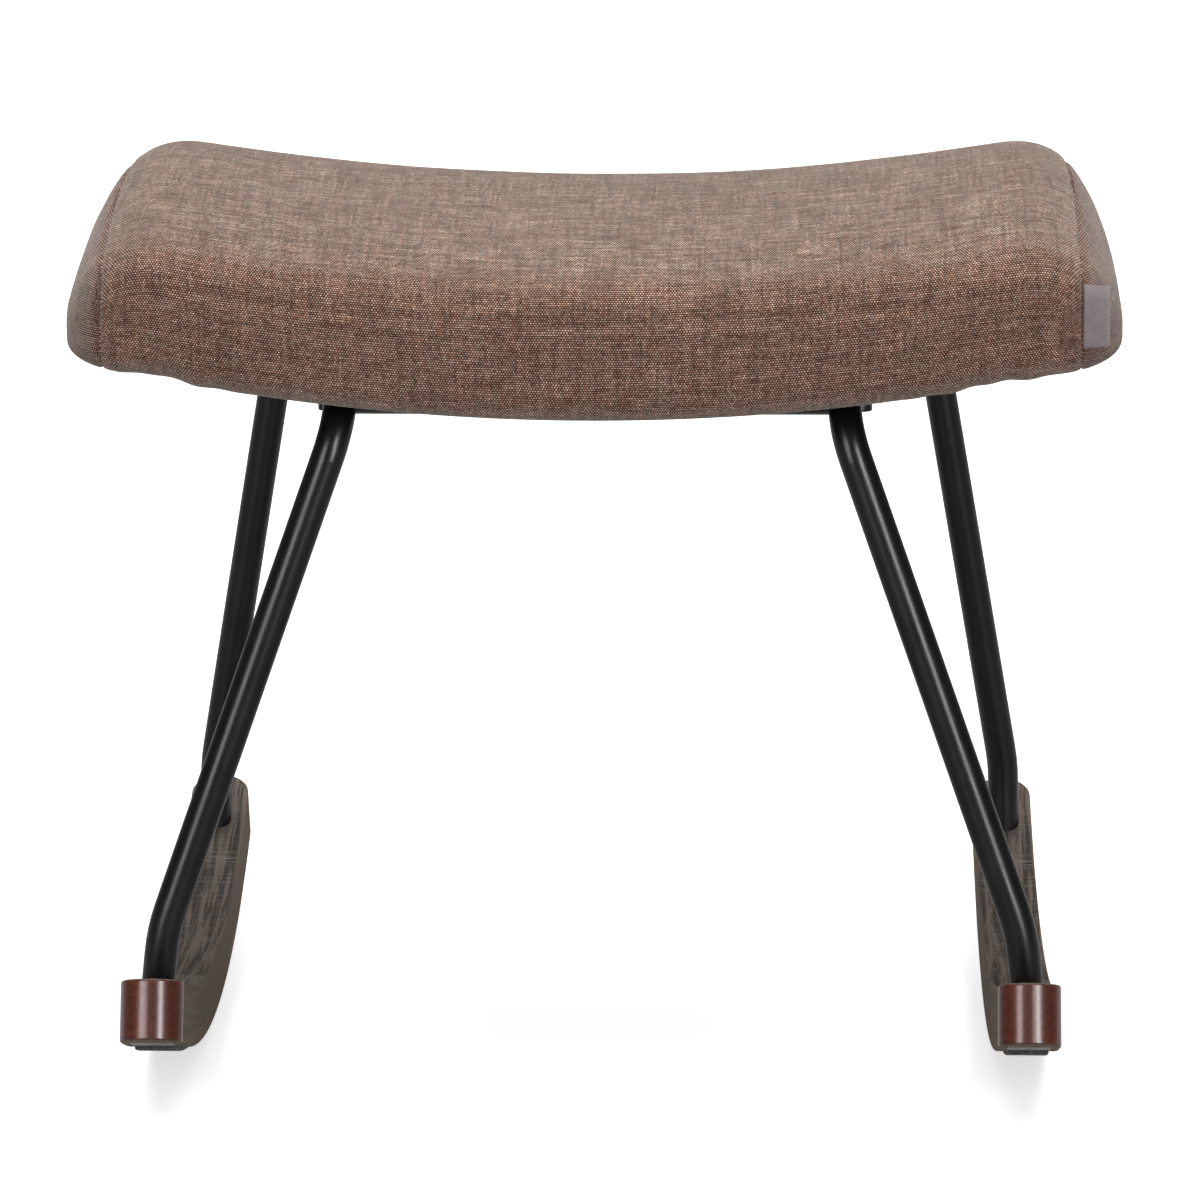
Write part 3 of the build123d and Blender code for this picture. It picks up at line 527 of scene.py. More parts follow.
class Section:
    """The cushion's outline across the seat at one place along it."""

    def __init__(self, x):
        past = max(abs(x) - ROUNDING_START, 0.0)
        pull = (past / (HALF_WRAP - ROUNDING_START)) ** 2
        fall = END_ROUNDING - math.sqrt(END_ROUNDING**2 - past**2)
        edge = BASE_Z - LIP_DROP
        self.x = x
        self.depth = SEAT_DEPTH / 2 - SEAM_TUCK * pull
        self.low = edge + x * x / (2 * SADDLE_RADIUS) - SEAM_SAG * pull
        self.high = edge + SIDE_HEIGHT + x * x / (2 * TOP_SADDLE_RADIUS) - fall
        self.crown = CROWN_RISE
        self.swell = FACE_SWELL
        self.lip = LIP_RADIUS
        self.shoulder = SHOULDER_RADIUS

    def shrunk(self, angle):
        """The seam's outline carried round an end panel's swell, to an angle from the X axis."""
        c = math.cos(angle) / math.cos(SEAM_ANGLE)
        out = (math.sin(angle) - math.sin(SEAM_ANGLE)) / (1 - math.sin(SEAM_ANGLE))
        s = Section(HALF_WRAP)
        middle = s.low + END_WIDEST
        s.x = HALF_WRAP + END_BULGE * out
        s.depth = self.depth * c**END_FULLNESS
        s.low = middle + (self.low - middle) * c
        s.high = middle + (self.high - middle) * c
        s.crown, s.swell = self.crown * c, self.swell * c
        s.lip, s.shoulder = self.lip * c, self.shoulder * c
        return s

    def ring(self):
        """Points round it, from the middle of the bottom over the +Y side, the crown and back."""
        d, r, q = self.depth, self.lip, self.shoulder
        crown_r = (d * d + self.crown**2) / (2 * self.crown)
        crown_z = self.high + self.crown - crown_r
        top_z = crown_z + math.sqrt((crown_r - q) ** 2 - (d - q) ** 2)
        turn = math.atan2(d - q, top_z - crown_z)
        half = [(t * (d - r), self.low) for t in np.linspace(0, 1, BOTTOM + 1)[:-1]]
        half += arc_points(d - r, self.low + r, r, -math.pi / 2, 0, LIP)[:-1]
        half += [(d, z) for z in np.linspace(self.low + r, top_z, FACE + 1)[:-1]]
        half += arc_points(d - q, top_z, q, 0, math.pi / 2 - turn, SHOULDER)[:-1]
        over = np.linspace(turn, 0, CROWN + 1)
        half += [(crown_r * math.sin(a), crown_z + crown_r * math.cos(a)) for a in over]
        out = []
        for y, z in half:
            t = min(max((z - self.low) / (self.high - self.low), 0), 1)
            out.append((y + self.swell * math.sin(math.pi * t) * (y / d) ** FACE_ONLY, z))
        return out + [(-y, z) for y, z in out[-2:0:-1]]


def wrap_stations():
    """Rows along the wrap, close together at the seams."""
    edge = [HALF_WRAP - d for d in (*NEAR_SEAM, EVEN_FROM)]
    inner = list(np.linspace(-edge[-1], edge[-1], WRAP_ROWS))
    return sorted(set([-e for e in edge[:-1]] + inner + edge[:-1]))


def end_angles():
    """Rows round an end panel, close together at the seam, up to just short of its middle."""
    reach = 1 - math.sin(SEAM_ANGLE)
    angles = [math.asin(math.sin(SEAM_ANGLE) + d / END_BULGE * reach) for d in NEAR_SEAM]
    even = np.linspace(math.degrees(angles[-1]) + END_STEP, END_LAST, END_ROWS)
    return angles + list(np.radians(even))


def end_rows(side):
    seam = Section(HALF_WRAP)
    return [(side * s.x, s.ring()) for s in (seam.shrunk(a) for a in end_angles())]


def hem_distance(x, y):
    """Signed distance to the rounded line where the cover turns up, negative inside it."""
    dx = abs(x) - (HEM_HALF_LENGTH - HEM_CORNER)
    dy = abs(y) - (HEM_HALF_DEPTH - HEM_CORNER)
    return math.hypot(max(dx, 0), max(dy, 0)) + min(max(dx, dy), 0) - HEM_CORNER


def raise_bottom(x, y, z):
    """Lifts the bottom inside the hem line up to the underside of the base."""
    t = step((HEM_TURN - hem_distance(x, y)) / HEM_TURN)
    return z + (saddle_z(x, FABRIC) - z) * t


def panel_mesh(name, rows, closed_end, uv_of):
    """Quads between rings. uv_of(row, column) is the place on the cloth, in metres."""
    bm = bmesh.new()
    layer = bm.loops.layers.uv.new("UVMap")
    grid = []
    for x, ring in rows:
        line = []
        for j, (y, z) in enumerate(ring):
            if j <= BOTTOM + 2 or j >= COLUMNS - BOTTOM - 2:
                z = raise_bottom(x, y, z)
            line.append(bm.verts.new((x, y, z)))
        grid.append(line)
    flip = rows[-1][0] > rows[0][0]
    for i, (line, following) in enumerate(zip(grid, grid[1:])):
        for j in range(COLUMNS):
            k = (j + 1) % COLUMNS
            verts = [line[j], following[j], following[k], line[k]]
            uvs = [uv_of(i, j), uv_of(i + 1, j), uv_of(i + 1, j + 1), uv_of(i, j + 1)]
            uv_face(bm, layer, verts, uvs, flip)
    if closed_end:
        # the last ring's two long sides are bridged, with a triangle at each end
        for j in range(HALF_RING):
            corners = list(dict.fromkeys((j, j + 1, COLUMNS - j - 1, (COLUMNS - j) % COLUMNS)))
            verts = [grid[-1][p] for p in corners]
            uv_face(bm, layer, verts, [uv_of(len(grid) - 1, p) for p in corners], flip)
    bmesh.ops.recalc_face_normals(bm, faces=bm.faces)
    middle = Vector((0.0, 0.0, BASE_Z + SIDE_HEIGHT / 2))
    facing = [f.normal.dot(f.calc_center_median() - middle) * f.calc_area() for f in bm.faces]
    if sum(facing) < 0:
        bmesh.ops.reverse_faces(bm, faces=bm.faces)
    return link_mesh(bm, name)


def girth():
    """Arc length round the middle section, zero at the top of the crown."""
    ring = Section(0.0).ring()
    ring = ring + [ring[0]]
    lengths = [0.0]
    for (y0, z0), (y1, z1) in zip(ring, ring[1:]):
        lengths.append(lengths[-1] + math.hypot(y1 - y0, z1 - z0))
    top = lengths[HALF_RING]
    return [value - top for value in lengths]


GIRTH = girth()
WRAP = [(x, Section(x).ring()) for x in wrap_stations()]


def wrap_uv(i, j):
    return WRAP[i][0], GIRTH[j]


def end_uvs(rows):
    """Unrolls the rings of an end panel outwards from its middle, along the spokes."""
    pts = np.array([[(x, y, z) for y, z in ring] for x, ring in rows])
    flat = pts[:, :, 1:].copy()
    for i in range(len(rows) - 2, -1, -1):
        spoke = pts[i, :, 1:] - pts[i + 1, :, 1:]
        planar = np.linalg.norm(spoke, axis=1, keepdims=True)
        real = np.linalg.norm(pts[i] - pts[i + 1], axis=1, keepdims=True)
        flat[i] = flat[i + 1] + spoke / np.maximum(planar, 1e-9) * real
    return lambda i, j: tuple(flat[i, j % COLUMNS])


cover = panel_mesh("seat_cover_cloth", WRAP, False, wrap_uv)
ends = []
for side, word in ((-1, "left"), (1, "right")):
    rows = end_rows(side)
    ends.append(panel_mesh(f"{word}_gusset_cloth", rows, True, end_uvs(rows)))
panels = [cover, *ends]


# ---------------------------------------- cushion: cloth simulation
INSET = 0.0012  # the padding starts this far inside the cloth
WELD = 1e-5
VOXEL = 0.0055
SEAM_HOLD = 0.006  # the padding is held within about this distance of a seam
EDGE_HOLD, EDGE_EASE = 0.004, 0.012  # and this far above its lower edge, then less and less
LEAST_HOLD = 0.02
PRESSURE = 2.0
SHRINK = -0.012
LAST_FRAME = 20
SWELL_SHARE = 0.14  # share of the simulated swelling that is kept, as the sections hold the rest
MOST_SWELL = 0.0016
RAY_START, RAY_REACH = 0.001, 0.012  # behind a point of the cloth, and on from there
FIT_START, FIT_EASE = 0.008, 0.022  # above the lower edge, which stays as it is
EVENING = 2  # passes that even out the fit


def padding():
    """A voxel copy of the whole cushion, a little inside the cloth."""
    bm = bmesh.new()
    for panel in panels:
        bm.from_mesh(panel.data)
    bmesh.ops.remove_doubles(bm, verts=bm.verts, dist=WELD)
    bmesh.ops.recalc_face_normals(bm, faces=bm.faces)
    bm.normal_update()
    for v in bm.verts:
        v.co -= v.normal * INSET
    pad = link_mesh(bm, "padding")
    remesh = pad.modifiers.new("remesh", "REMESH")
    remesh.mode = "VOXEL"
    remesh.voxel_size = VOXEL
    apply_modifiers(pad)
    return pad


def hold(pad):
    """Marks where the simulation may not move the padding: by its seams and its lower edge."""
    group = pad.vertex_groups.new(name="held")
    for v in pad.data.vertices:
        along = min(abs(v.co.x), HALF_WRAP)
        low = BASE_Z - LIP_DROP + along * along / (2 * SADDLE_RADIUS)
        by_seam = bell(abs(abs(v.co.x) - HALF_WRAP) / SEAM_HOLD)
        held = max(by_seam, 1 - step((v.co.z - low - EDGE_HOLD) / EDGE_EASE))
        if held > LEAST_HOLD:
            group.add([v.index], min(held, 1.0), "REPLACE")
    return group


def swell(pad, group):
    """Runs the cloth under pressure and gives its points at the last frame."""
    cloth = pad.modifiers.new("cloth", "CLOTH")
    settings = cloth.settings
    settings.quality = 5
    settings.mass = 0.35
    settings.tension_stiffness = settings.compression_stiffness = 14
    settings.shear_stiffness = 6
    settings.bending_stiffness = 1.2
    settings.use_pressure = True
    settings.uniform_pressure_force = PRESSURE
    settings.shrink_min = SHRINK
    settings.vertex_group_mass = group.name
    settings.effector_weights.gravity = 0
    cloth.collision_settings.use_collision = False
    cloth.point_cache.frame_start = 1
    cloth.point_cache.frame_end = LAST_FRAME
    for f in range(1, LAST_FRAME + 1):
        scene.frame_set(f)
    done = pad.evaluated_get(bpy.context.evaluated_depsgraph_get())
    end = np.array([v.co for v in done.data.vertices])
    faces = [tuple(p.vertices) for p in done.data.polygons]
    return end, faces


def simulated_surface():
    """The padding's skin, swollen by a share of what a short simulation gives."""
    pad = padding()
    start = np.array([v.co for v in pad.data.vertices])
    end, faces = swell(pad, hold(pad))
    bpy.data.objects.remove(pad)
    scene.frame_set(1)
    move = end - start
    size = np.linalg.norm(move, axis=1, keepdims=True)
    kept = MOST_SWELL * np.tanh(SWELL_SHARE * size / MOST_SWELL)
    end = start + move * kept / np.maximum(size, 1e-9)
    return BVHTree.FromPolygons([Vector(p) for p in end], faces)


def place_on(surface, v):
    """Where the line along a point's normal meets the surface nearest to the point, if it does."""
    hits = []
    for sign in (1, -1):
        start = v.co - v.normal * RAY_START * sign
        hit = surface.ray_cast(start, v.normal * sign, RAY_REACH)[0]
        if hit is not None:
            hits.append(hit)
    return min(hits, key=lambda hit: (hit - v.co).length, default=None)


def fit_to(surface, panel):
    """Moves a panel's points along their normals to lie over the simulated surface."""
    bm = bmesh.new()
    bm.from_mesh(panel.data)
    bm.normal_update()
    moved = [0.0] * len(bm.verts)
    for v in bm.verts:
        target = place_on(surface, v)
        if target is not None:
            low = Section(min(abs(v.co.x), HALF_WRAP)).low
            share = step((v.co.z - low - FIT_START) / FIT_EASE)
            moved[v.index] = ((target - v.co).dot(v.normal) + INSET) * share
    for _ in range(EVENING):
        again = list(moved)
        for v in bm.verts:
            near = [moved[e.other_vert(v).index] for e in v.link_edges]
            again[v.index] = 0.5 * moved[v.index] + 0.5 * sum(near) / len(near)
        moved = again
    for v in bm.verts:
        v.co += v.normal * moved[v.index]
    bm.to_mesh(panel.data)
    bm.free()


surface = simulated_surface()
for panel in panels:
    fit_to(surface, panel)


# ---------------------------------------- cushion: seams and creases
GROOVE_REACH, GROOVE_DEPTH = 0.0032, 0.0026
PUCKER_REACH, PUCKER_HEIGHT = 0.012, 0.00065
PUCKER_TURN = 0.13  # beyond this Y the puckers follow one another up the seam, within it along Y
FOLD_START, FOLD_EASE = 0.002, 0.010  # above the lower edge, where the folds begin
PADDING_WAVE = 0.0007
PUCKERS, CREASE_WAVES, PADDING_WAVES, RIPPLES = 95, 9, 13, 330  # how close they follow, per metre
FACE_Y = 0.128  # the faces lie beyond this Y
CREASE_DROP, CREASE_WAVER = 0.0135, 0.0012  # from the corner of face and crown
CREASE_WIDTH, CREASE_DEPTH = 0.0020, 0.00135
CREASE_FADE = 0.05  # from the seams
ROLL_DROP, ROLL_WIDTH, ROLL_HEIGHT = 0.006, 0.005, 0.0004  # the soft roll under the crease
# where the lower edge is pulled in over the base's corners: place, width and depth
NICKS = ((-0.203, 0.009, 0.0022), (0.189, 0.012, 0.0018))
NICK_TOP, NICK_HEIGHT = 0.004, 0.011
RIPPLE_REACH, RIPPLE_HEIGHT = 0.030, 0.0006


def crease_height(x):
    """Height of the faint crease along the faces, a little under the shoulder."""
    high = Section(min(abs(x), HALF_WRAP)).high
    return high - CREASE_DROP + CREASE_WAVER * noise.noise(Vector((x * CREASE_WAVES, 3.1, 0)))


def seam_relief(x, y, z, above):
    """The seam rolls the cloth in, and small puckers run out from it."""
    distance = abs(abs(x) - HALF_WRAP)
    height = 0.0
    if distance < GROOVE_REACH:
        roll = 1 - math.sqrt(max(0.0, 1 - (1 - distance / GROOVE_REACH) ** 2))
        height -= GROOVE_DEPTH * roll * (0.45 + 0.55 * above)
    along = (z if abs(y) > PUCKER_TURN else y) * PUCKERS
    pucker = noise.noise(Vector((along, 5.0 + (x > 0) * 3, 0.7)))
    pucker += 0.5 * noise.noise(Vector((along * 2.1, 9.0, 0)))
    return height + PUCKER_HEIGHT * pucker * bell(distance / PUCKER_REACH) * above


def face_relief(x, y, z, low):
    """The crease along a face, the soft roll under it, and the nicks in the lower edge."""
    from_crease = z - crease_height(x)
    fade = step((HALF_WRAP - abs(x)) / CREASE_FADE)
    uneven = 0.45 + 0.75 * abs(noise.noise(Vector((x * 6, y, 1.7))))
    height = -CREASE_DEPTH * bell(from_crease / CREASE_WIDTH) * uneven * fade
    height += ROLL_HEIGHT * bell((from_crease + ROLL_DROP) / ROLL_WIDTH) * fade
    low_down = bell((z - low - NICK_TOP) / NICK_HEIGHT)
    for place, width, depth in NICKS:
        beside = x - place
        ripple = math.sin(beside * RIPPLES + z * 60)
        height -= depth * bell(beside / width) * low_down
        height += RIPPLE_HEIGHT * bell(beside / RIPPLE_REACH) * low_down * ripple
    return height


def detail(panel, is_end):
    """Refines a panel and gives its cloth the fine relief of the photograph."""
    sub = panel.modifiers.new("sub", "SUBSURF")
    sub.levels = sub.render_levels = 1
    apply_modifiers(panel)
    bm = bmesh.new()
    bm.from_mesh(panel.data)
    bm.normal_update()
    for v in bm.verts:
        x, y, z = v.co
        low = Section(min(abs(x), HALF_WRAP)).low
        above = step((z - low - FOLD_START) / FOLD_EASE)
        height = seam_relief(x, y, z, above)
        height += PADDING_WAVE * noise.noise(v.co * PADDING_WAVES) * above
        if not is_end and abs(y) > FACE_Y:
            height += face_relief(x, y, z, low)
        v.co += v.normal * height
    bm.to_mesh(panel.data)
    bm.free()
    smooth(panel)


for panel in panels:
    detail(panel, panel is not cover)

weave = weave_material("taupe_weave")
for panel in panels:
    panel.data.materials.clear()
    panel.data.materials.append(weave)
    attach(panel, "root")
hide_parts("seat_cover", "seat_foam")
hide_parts("left_end_gusset")
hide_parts("right_end_gusset")


# ---------------------------------------- seam thread
CORD_RADIUS = 0.00055
CORD_DEPTH = 0.0024
CORD_SIDES = 6
CORD_TWIST = 0.18  # share of its radius that comes and goes


def seam_line(name, side):
    """The sunk line of the seam: a thin dark cord of cloth and thread in the groove."""
    axis = Vector((1, 0, 0))
    places = [Vector((side * HALF_WRAP, y, z)) for y, z in Section(HALF_WRAP).ring()]
    turns = [2 * math.pi * k / CORD_SIDES for k in range(CORD_SIDES)]
    bm = bmesh.new()
    rings = []
    for j, place in enumerate(places):
        onward = (places[(j + 1) % len(places)] - places[j - 1]).normalized()
        out = onward.cross(axis)
        centre = place - out * CORD_DEPTH
        radius = CORD_RADIUS * (1 + CORD_TWIST * math.sin(j * 2.4))
        round_it = [(out * math.cos(w) + axis * math.sin(w)) * radius for w in turns]
        rings.append([bm.verts.new(centre + point) for point in round_it])
    for ring, following in zip(rings, rings[1:] + rings[:1]):
        band(bm, ring, following)
    return link_shell(bm, name)


thread = plastic_material("seam_thread", (0.085, 0.052, 0.038), (0.150, 0.096, 0.070), 0.85)
for side, word in ((-1, "left"), (1, "right")):
    line = seam_line(f"{word}_seam_thread", side)
    line.data.materials.append(thread)
    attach(line, "root")


# ---------------------------------------- blank label
TAG_REACH = 0.0130  # from the seam to the free edge
TAG_HEIGHT = 0.030
TAG_THICKNESS = 0.00035
TAG_MIDDLE = 0.028  # above the cushion's lower edge
TAG_ROWS, TAG_COLUMNS = 48, 14
TAG_TEETH, TOOTH_DEPTH = 12, 0.0009
TAG_RISE, TAG_DROOP = 0.0012, 0.0006  # of the free edge's lower and upper corner
TAG_CURL, TAG_WAVE = 0.0008, 0.0004  # towards the front
TAG_GAP = 0.0002
FRONT_Y, FRONT_LOW = -0.10, 0.006  # the front of the seam, above the cushion's lower edge


def tag_place(s, t, back, middle, seam_y):
    """A point of the ribbon: s goes from the seam to the free edge, t from the lower end up."""
    z = middle + TAG_HEIGHT * (t - 0.5) + TAG_RISE * s * (1 - t) - TAG_DROOP * s * t
    y = seam_y(z) - TAG_GAP
    y -= TAG_CURL * math.sin(s * 2.2) + TAG_WAVE * s * math.sin(t * 5 + 0.6)
    y += TAG_THICKNESS * back
    saw = abs((t * TAG_TEETH) % 1 - 0.5) * 2
    x = HALF_WRAP + TAG_GAP / 2 + (TAG_REACH - TOOTH_DEPTH * saw) * s
    return x, y, z


def tag_mesh():
    """A folded ribbon sewn into the right front seam, with a pinked free edge."""
    seam = Section(HALF_WRAP)
    edge = [(y, z) for y, z in seam.ring() if y < FRONT_Y and z > seam.low + FRONT_LOW]
    ys, zs = np.array(sorted(edge, key=lambda p: p[1])).T
    middle = seam.low + TAG_MIDDLE
    bm = bmesh.new()
    layer = bm.loops.layers.uv.new("UVMap")
    sides = []
    for back in (0, 1):
        grid = []
        for i in range(TAG_ROWS + 1):
            line = []
            for k in range(TAG_COLUMNS + 1):
                s, t = k / TAG_COLUMNS, i / TAG_ROWS
                place = tag_place(s, t, back, middle, lambda z: float(np.interp(z, zs, ys)))
                line.append(bm.verts.new(place))
            grid.append(line)
        sides.append(grid)
    for back, grid in enumerate(sides):
        for i in range(TAG_ROWS):
            for k in range(TAG_COLUMNS):
                corners = [(i, k), (i, k + 1), (i + 1, k + 1), (i + 1, k)]
                verts = [grid[a][b] for a, b in corners]
                uvs = [(b * TAG_REACH / TAG_COLUMNS, a * TAG_HEIGHT / TAG_ROWS) for a, b in corners]
                uv_face(bm, layer, verts, uvs, back)
    front, rear = sides
    rim = [(0, k) for k in range(TAG_COLUMNS)]
    rim += [(i, TAG_COLUMNS) for i in range(TAG_ROWS)]
    rim += [(TAG_ROWS, k) for k in range(TAG_COLUMNS, 0, -1)]
    rim += [(i, 0) for i in range(TAG_ROWS, 0, -1)]
    for (i, k), (i2, k2) in zip(rim, rim[1:] + rim[:1]):
        bm.faces.new((front[i][k], rear[i][k], rear[i2][k2], front[i2][k2]))
    return link_shell(bm, "blank_label")


tag = tag_mesh()
tag.data.materials.append(tag_material("tag_satin"))
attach(tag, "root")
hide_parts("seat_tag")


# ---------------------------------------- lining under the seat
LINING_INSET = 0.0015  # from the hem's turn
LINING_HALF_LENGTH = HEM_HALF_LENGTH - LINING_INSET
LINING_HALF_DEPTH = HEM_HALF_DEPTH - LINING_INSET
LINING_CORNER = HEM_CORNER - LINING_INSET
LINING_COLUMNS, LINING_ROWS = 150, 90
# at a cut-out, cells centred within the cut are left out, and points from the middle to the reach
# are drawn out between the rim and the reach
HOLE_MIDDLE, HOLE_CUT, HOLE_RIM, HOLE_REACH = 0.004, 0.0052, 0.011, 0.0135


def spacer_holes():
    """Centres of the cut-outs, where the spacers pass from the base to the rails."""
    centres = []
    for y in (-SPACER_Y, SPACER_Y):
        share = (y + RAIL_HALF_RUN) / (2 * RAIL_HALF_RUN)
        x = RAIL_FRONT_X + (RAIL_REAR_X - RAIL_FRONT_X) * share
        centres += [(x, y), (-x, y)]
    return centres


def grid_place(i, j):
    """A point of the plain rectangular grid."""
    x = LINING_HALF_LENGTH * (2 * i / LINING_COLUMNS - 1)
    y = LINING_HALF_DEPTH * (2 * j / LINING_ROWS - 1)
    return x, y


def lining_place(i, j, holes):
    """The same point, drawn in to the rounded corners and out from the cut-outs."""
    x, y = grid_place(i, j)
    corner_x, corner_y = LINING_HALF_LENGTH - LINING_CORNER, LINING_HALF_DEPTH - LINING_CORNER
    dx, dy = abs(x) - corner_x, abs(y) - corner_y
    if dx > 0 and dy > 0:
        longer, distance = max(dx, dy), math.hypot(dx, dy)
        x = math.copysign(corner_x + dx * longer / distance, x)
        y = math.copysign(corner_y + dy * longer / distance, y)
    for hole_x, hole_y in holes:
        distance = math.hypot(x - hole_x, y - hole_y)
        if HOLE_MIDDLE < distance < HOLE_REACH:
            r = HOLE_RIM + (distance / HOLE_REACH) * (HOLE_REACH - HOLE_RIM)
            x, y = hole_x + (x - hole_x) / distance * r, hole_y + (y - hole_y) / distance * r
    return x, y


def lining_mesh():
    """Thin lining stretched under the base, with cut-outs for the spacers."""
    nx, ny = LINING_COLUMNS, LINING_ROWS
    holes = spacer_holes()
    cells = [(i, j) for i in range(nx) for j in range(ny)]
    skipped = set()
    for i, j in cells:
        x, y = grid_place(i + 0.5, j + 0.5)
        if any(math.hypot(x - hole_x, y - hole_y) < HOLE_CUT for hole_x, hole_y in holes):
            skipped.add((i, j))
    bm = bmesh.new()
    sheets = []
    for drop in (FABRIC, FABRIC + DUST_THICKNESS):
        grid = {}
        for i in range(nx + 1):
            for j in range(ny + 1):
                x, y = lining_place(i, j, holes)
                grid[i, j] = bm.verts.new((x, y, saddle_z(x, drop)))
        sheets.append(grid)
    for turn, grid in zip((1, -1), sheets):
        for i, j in cells:
            if (i, j) not in skipped:
                verts = [grid[i, j], grid[i + 1, j], grid[i + 1, j + 1], grid[i, j + 1]]
                bm.faces.new(verts[::turn])
    up, down = sheets
    for i in range(nx):
        bm.faces.new((up[i, 0], down[i, 0], down[i + 1, 0], up[i + 1, 0]))
        bm.faces.new((up[i + 1, ny], down[i + 1, ny], down[i, ny], up[i, ny]))
    for j in range(ny):
        bm.faces.new((up[0, j + 1], down[0, j + 1], down[0, j], up[0, j]))
        bm.faces.new((up[nx, j], down[nx, j], down[nx, j + 1], up[nx, j + 1]))
    # walls of the cut-outs: the neighbour's direction, and the ends of the edge shared with it
    walls = (
        ((-1, 0), (0, 0), (0, 1)),
        ((1, 0), (1, 1), (1, 0)),
        ((0, -1), (1, 0), (0, 0)),
        ((0, 1), (0, 1), (1, 1)),
    )
    for i, j in skipped:
        for (di, dj), (a, b), (c, d) in walls:
            if (i + di, j + dj) not in skipped:
                p, q = (i + a, j + b), (i + c, j + d)
                bm.faces.new((up[p], up[q], down[q], down[p]))
    loose = [v for v in bm.verts if not v.link_faces]
    bmesh.ops.delete(bm, geom=loose, context="VERTS")
    return link_shell(bm, "dust_lining")


lining = lining_mesh()
lining.data.materials.append(lining_material("black_lining"))
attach(lining, "root")
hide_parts("dust_cover")


# ---------------------------------------- felt strips
FELT_SETBACK = 0.033  # along the arc, from the rocker's tip
FELT_HALF_WIDTH = 0.00975
FELT_THICKNESS = 0.0020
FELT_ROUNDING = 0.0005
FELT_SLACK = 0.00005  # of its inner and outer face
FELT_ROWS = 260
EDGE_POINTS = 7
FUZZ, MOST_SUNK = 0.00016, 0.0001


def felt_profile():
    """The band's closed outline: across, and out from the rocker."""
    edge = []
    for a in np.linspace(-math.pi / 2, math.pi / 2, EDGE_POINTS):
        across = FELT_HALF_WIDTH - FELT_ROUNDING + FELT_ROUNDING * math.cos(a)
        out = FELT_THICKNESS / 2 + (FELT_THICKNESS / 2 - FELT_SLACK) * math.sin(a)
        edge.append((across, out))
    return edge + [(-across, out) for across, out in reversed(edge)]


def felt_mesh(name, side):
    """A fuzzy felt band along the underside of the rocker, pressed flat where it stands."""
    half_angle = math.asin(ROCKER_TIP) - FELT_SETBACK / ROCKER_RADIUS
    profile = felt_profile()
    bm = bmesh.new()
    rings = []
    for i in range(FELT_ROWS + 1):
        a = half_angle * (2 * i / FELT_ROWS - 1)
        ring = []
        for k, (across, out) in enumerate(profile):
            fuzz = 0.0
            if k % EDGE_POINTS >= 2:
                fuzz = FUZZ * noise.noise(Vector((a * 900, k * 1.7, side)))
            r = ROCKER_RADIUS + out + max(fuzz, -MOST_SUNK)
            z = ARC_CENTRE_Z - r * math.cos(a)
            x = side * HALF_GAUGE + across + math.copysign(fuzz, across)
            ring.append(bm.verts.new((x, r * math.sin(a), max(z, 0.0))))
        rings.append(ring)
    for ring, following in zip(rings, rings[1:]):
        band(bm, ring, following)
    bm.faces.new(rings[0])
    bm.faces.new(rings[-1][::-1])
    return link_shell(bm, name)


felt = felt_material("navy_felt")
for side, word in ((-1, "left"), (1, "right")):
    strip = felt_mesh(f"{word}_felt", side)
    strip.data.materials.append(felt)
    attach(strip, "root")
    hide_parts(f"{word}_felt_strip")


# ---------------------------------------- nodes that keep their CAD shape
def give(material, *node_names):
    for name in node_names:
        materials = nodes[name].data.materials
        materials.clear()
        materials.append(material)


give(wood_material("walnut_left", -1), "left_rocker")
give(wood_material("walnut_right", 1), "right_rocker")
powder = powder_material("black_powder_coat")
give(powder, "left_leg_hoop", "right_leg_hoop", "front_cross_tube", "rear_cross_tube")
carrier = plastic_material("carrier_plastic", (0.36, 0.355, 0.35), (0.46, 0.455, 0.44), 0.5)
give(carrier, "left_carrier_strip", "right_carrier_strip")
nail = steel_material("nail_steel", (0.07, 0.07, 0.075), (0.16, 0.155, 0.15))
give(nail, "carrier_nails")
zinc = steel_material("zinc_plated_steel", (0.46, 0.47, 0.49), (0.66, 0.66, 0.64))
give(zinc, "leg_plugs", "rocker_bolts", "rocker_washers", "tee_nuts", "staples")
black_zinc = steel_material("black_zinc_steel", (0.012, 0.012, 0.013), (0.028, 0.028, 0.030))
give(black_zinc, "seat_screws")
spacer = plastic_material("spacer_plastic", (0.009, 0.009, 0.009), (0.018, 0.018, 0.019), 0.55)
give(spacer, "front_seat_spacers", "rear_seat_spacers")
give(plywood_material("birch_plywood"), "seat_base")

# ---------------------------------------- floor, light and camera
FLOOR_HALF_SIZE = 9.0
FLOOR_CELLS = 36
FLOOR_SEEN = (0.88, 0.88, 0.88)
FLOOR_LIT = (0.30, 0.30, 0.30)  # as it throws light back onto the stool
FLOOR_GLOW = 0.64  # seen by the camera only
MIRROR_GLOW = 0.30  # seen in gloss and through glass only
WORLD_STRENGTH = 0.20
SUN_STRENGTH = 3.0
SUN_ANGLE = math.radians(62)
SUN_TILT = math.radians(-6)


